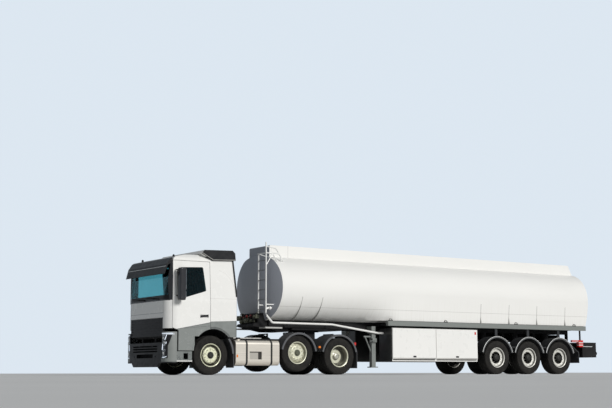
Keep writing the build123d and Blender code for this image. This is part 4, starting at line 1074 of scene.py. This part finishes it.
reservoirs = Piece()
for s, long in ((9.15, 1.15), (10.45, 1.15), (11.75, 1.15), (13.03, 0.82)):
    for y in (0.20, -0.20):
        centre = point(s, y, 1.165)
        reservoirs.turned(centre, (-1, 0, 0), [
            (0, 0.03), (0.012, 0.08), (0.04, 0.112), (0.08, 0.122), (long - 0.08, 0.122),
            (long - 0.04, 0.112), (long - 0.012, 0.08), (long, 0.03)])
        for at in (0.25, long - 0.25):
            reservoirs.hoop(centre, (-1, 0, 0), [(at - 0.02, 0.121), (at - 0.02, 0.126),
                                                 (at + 0.02, 0.126), (at + 0.02, 0.121)])
reservoirs.done("air_reservoirs", soft_black, "trailer", "black_plastic")

box_pair("rear_marker", red, "trailer", "red_lamp",
         ((13.43, 13.739), (1.13, 1.19), (1.035, 1.098), 0.004))
box_pair("marker_line", blank, "trailer", "white_paint",
         ((13.44, 13.735), (1.1895, 1.1925), (1.058, 1.072), 0.001))

# Valves below the tank's front end: place of the body, its width, depth and height
VALVES = ((1.80, 0.46, 1.60, 0.16, 0.12, 0.10), (1.79, 0.02, 1.50, 0.20, 0.13, 0.12),
          (1.80, -0.42, 1.58, 0.14, 0.12, 0.14), (1.78, 0.30, 1.49, 0.12, 0.10, 0.08),
          (1.77, -0.22, 1.47, 0.10, 0.12, 0.09))
valves = Piece()
for s, y, z, wide, deep, tall in VALVES:
    valves.box((s - deep / 2, s + deep / 2), (y - wide / 2, y + wide / 2),
               (z - tall / 2, z + tall / 2), 0.008)
    valves.turned(point(s, y, z), (1, 0, 0),
                  [(deep / 2 - 0.01, 0.03), (deep / 2 + 0.03, 0.03), (deep / 2 + 0.035, 0.02)], 16)
    valves.tube([point(s, y + 0.03, z + tall / 2 - 0.01), point(s, y + 0.03, z + 0.11),
                 point(s + 0.05, y + 0.05, z + 0.13), point(s + 0.10, y + 0.06, z + 0.13)],
                0.012, 8)
valves.done("front_valves", hub_green, "trailer", "chassis_paint")

covers = Piece()
for number in range(5):
    s = 3.5 + 2.25 * number
    covers.turned(point(s, 0, TRAY_COVER_Z), (0, 0, 1),
                  [(0, 0.25), (0.012, 0.25), (0.02, 0.235), (0.03, 0.10), (0.034, 0.001)], 40)
    for k in range(10):
        a = 2 * math.pi * k / 10
        covers.turned(point(s + 0.262 * math.cos(a), 0.262 * math.sin(a), TRAY_COVER_Z),
                      (0, 0, 1), [(0, 0.012), (0.014, 0.012), (0.016, 0.008)], 6)
    covers.tube([point(s + ds, 0, z) for ds, z in
                 ((-0.08, 3.525), (-0.07, 3.57), (0.07, 3.57), (0.08, 3.525))], 0.009, 8)
covers.done("cover_lids", aluminium, "trailer", "bright_aluminium")

crank = Piece()
crank.box((5.575, 5.725), (0.759, 0.815), (0.93, 1.05), 0.01)
crank.tube([point(5.65, 0.81, 0.99), point(5.65, 0.86, 0.99), point(5.42, 0.87, 0.96),
            point(5.42, 0.90, 0.96)], 0.011)
crank.done("leg_crank", rail_grey, "trailer", "chassis_paint")

# Floor, backdrop, light and camera
FLOOR_REACH = 400.0
floor_mesh = bpy.data.meshes.new("floor")
floor_mesh.from_pydata([(x * FLOOR_REACH, y * FLOOR_REACH, 0)
                        for x, y in ((-1, -1), (1, -1), (1, 1), (-1, 1))], [], [(0, 1, 2, 3)])
floor = put("floor", floor_mesh)
n = Nodes("floor")
n.feed("Base Color", n.mix(n.spread(n.noise(0.4), 0.0, 1.0), (0.74, 0.74, 0.735),
                           (0.78, 0.78, 0.775)))
n.set(Roughness=0.9)
floor_mesh.materials.append(n.material)

# The backdrop is bright where the camera sees it, straight or through glass, weaker in
# reflections and weakest as a light.
BACKDROP_COLOUR = (0.82, 0.91, 1.0, 1)
BACKDROP_LIGHT, BACKDROP_SEEN, BACKDROP_REFLECTED = 0.17, 0.88, 0.3
world = bpy.data.worlds.new("studio")
bpy.context.scene.world = world
world.use_nodes = True
graph = Graph(world.node_tree)
backdrop = graph.tree.nodes["Background"].inputs
backdrop["Color"].default_value = BACKDROP_COLOUR
ray = graph.new("LightPath").outputs
seen = graph.either(ray["Is Camera Ray"], ray["Is Transmission Ray"])
seen = graph.either(seen, graph.times(ray["Is Glossy Ray"], BACKDROP_REFLECTED))
graph.link(graph.spread(seen, BACKDROP_LIGHT, BACKDROP_SEEN, 0.0, 1.0), backdrop["Strength"])

SUN_FROM = Vector((-0.16, 0.92, 0.46))
sun_data = bpy.data.lights.new("key", "SUN")
sun_data.energy = 2.60
sun_data.angle = math.radians(18)
sun_data.color = (1.0, 0.985, 0.96)
sun = put("key", sun_data)
sun.rotation_euler = (-SUN_FROM).to_track_quat("-Z", "Y").to_euler()

# The camera as fitted to the photograph: focal length in pixels, angles in radians
FOCAL_PIXELS = 1164.43
PICTURE_PIXELS = 612.0
BEARING = 0.5905
PITCH = 0.1441
ROLL = -0.0015
camera_data = bpy.data.cameras.new("camera")
camera_data.sensor_width = 36.0
camera_data.lens = camera_data.sensor_width * FOCAL_PIXELS / PICTURE_PIXELS
camera_data.clip_end = 2000.0
camera = put("camera", camera_data)
camera.location = point(-15.084, 28.149, 0.05)
look = Vector((-math.sin(BEARING) * math.cos(PITCH), -math.cos(BEARING) * math.cos(PITCH),
               math.sin(PITCH)))
camera.rotation_euler = (look.to_track_quat("-Z", "Y").to_matrix()
                         @ Matrix.Rotation(ROLL, 3, "Z")).to_euler()
bpy.context.scene.camera = camera
bpy.context.scene.view_settings.view_transform = "Standard"
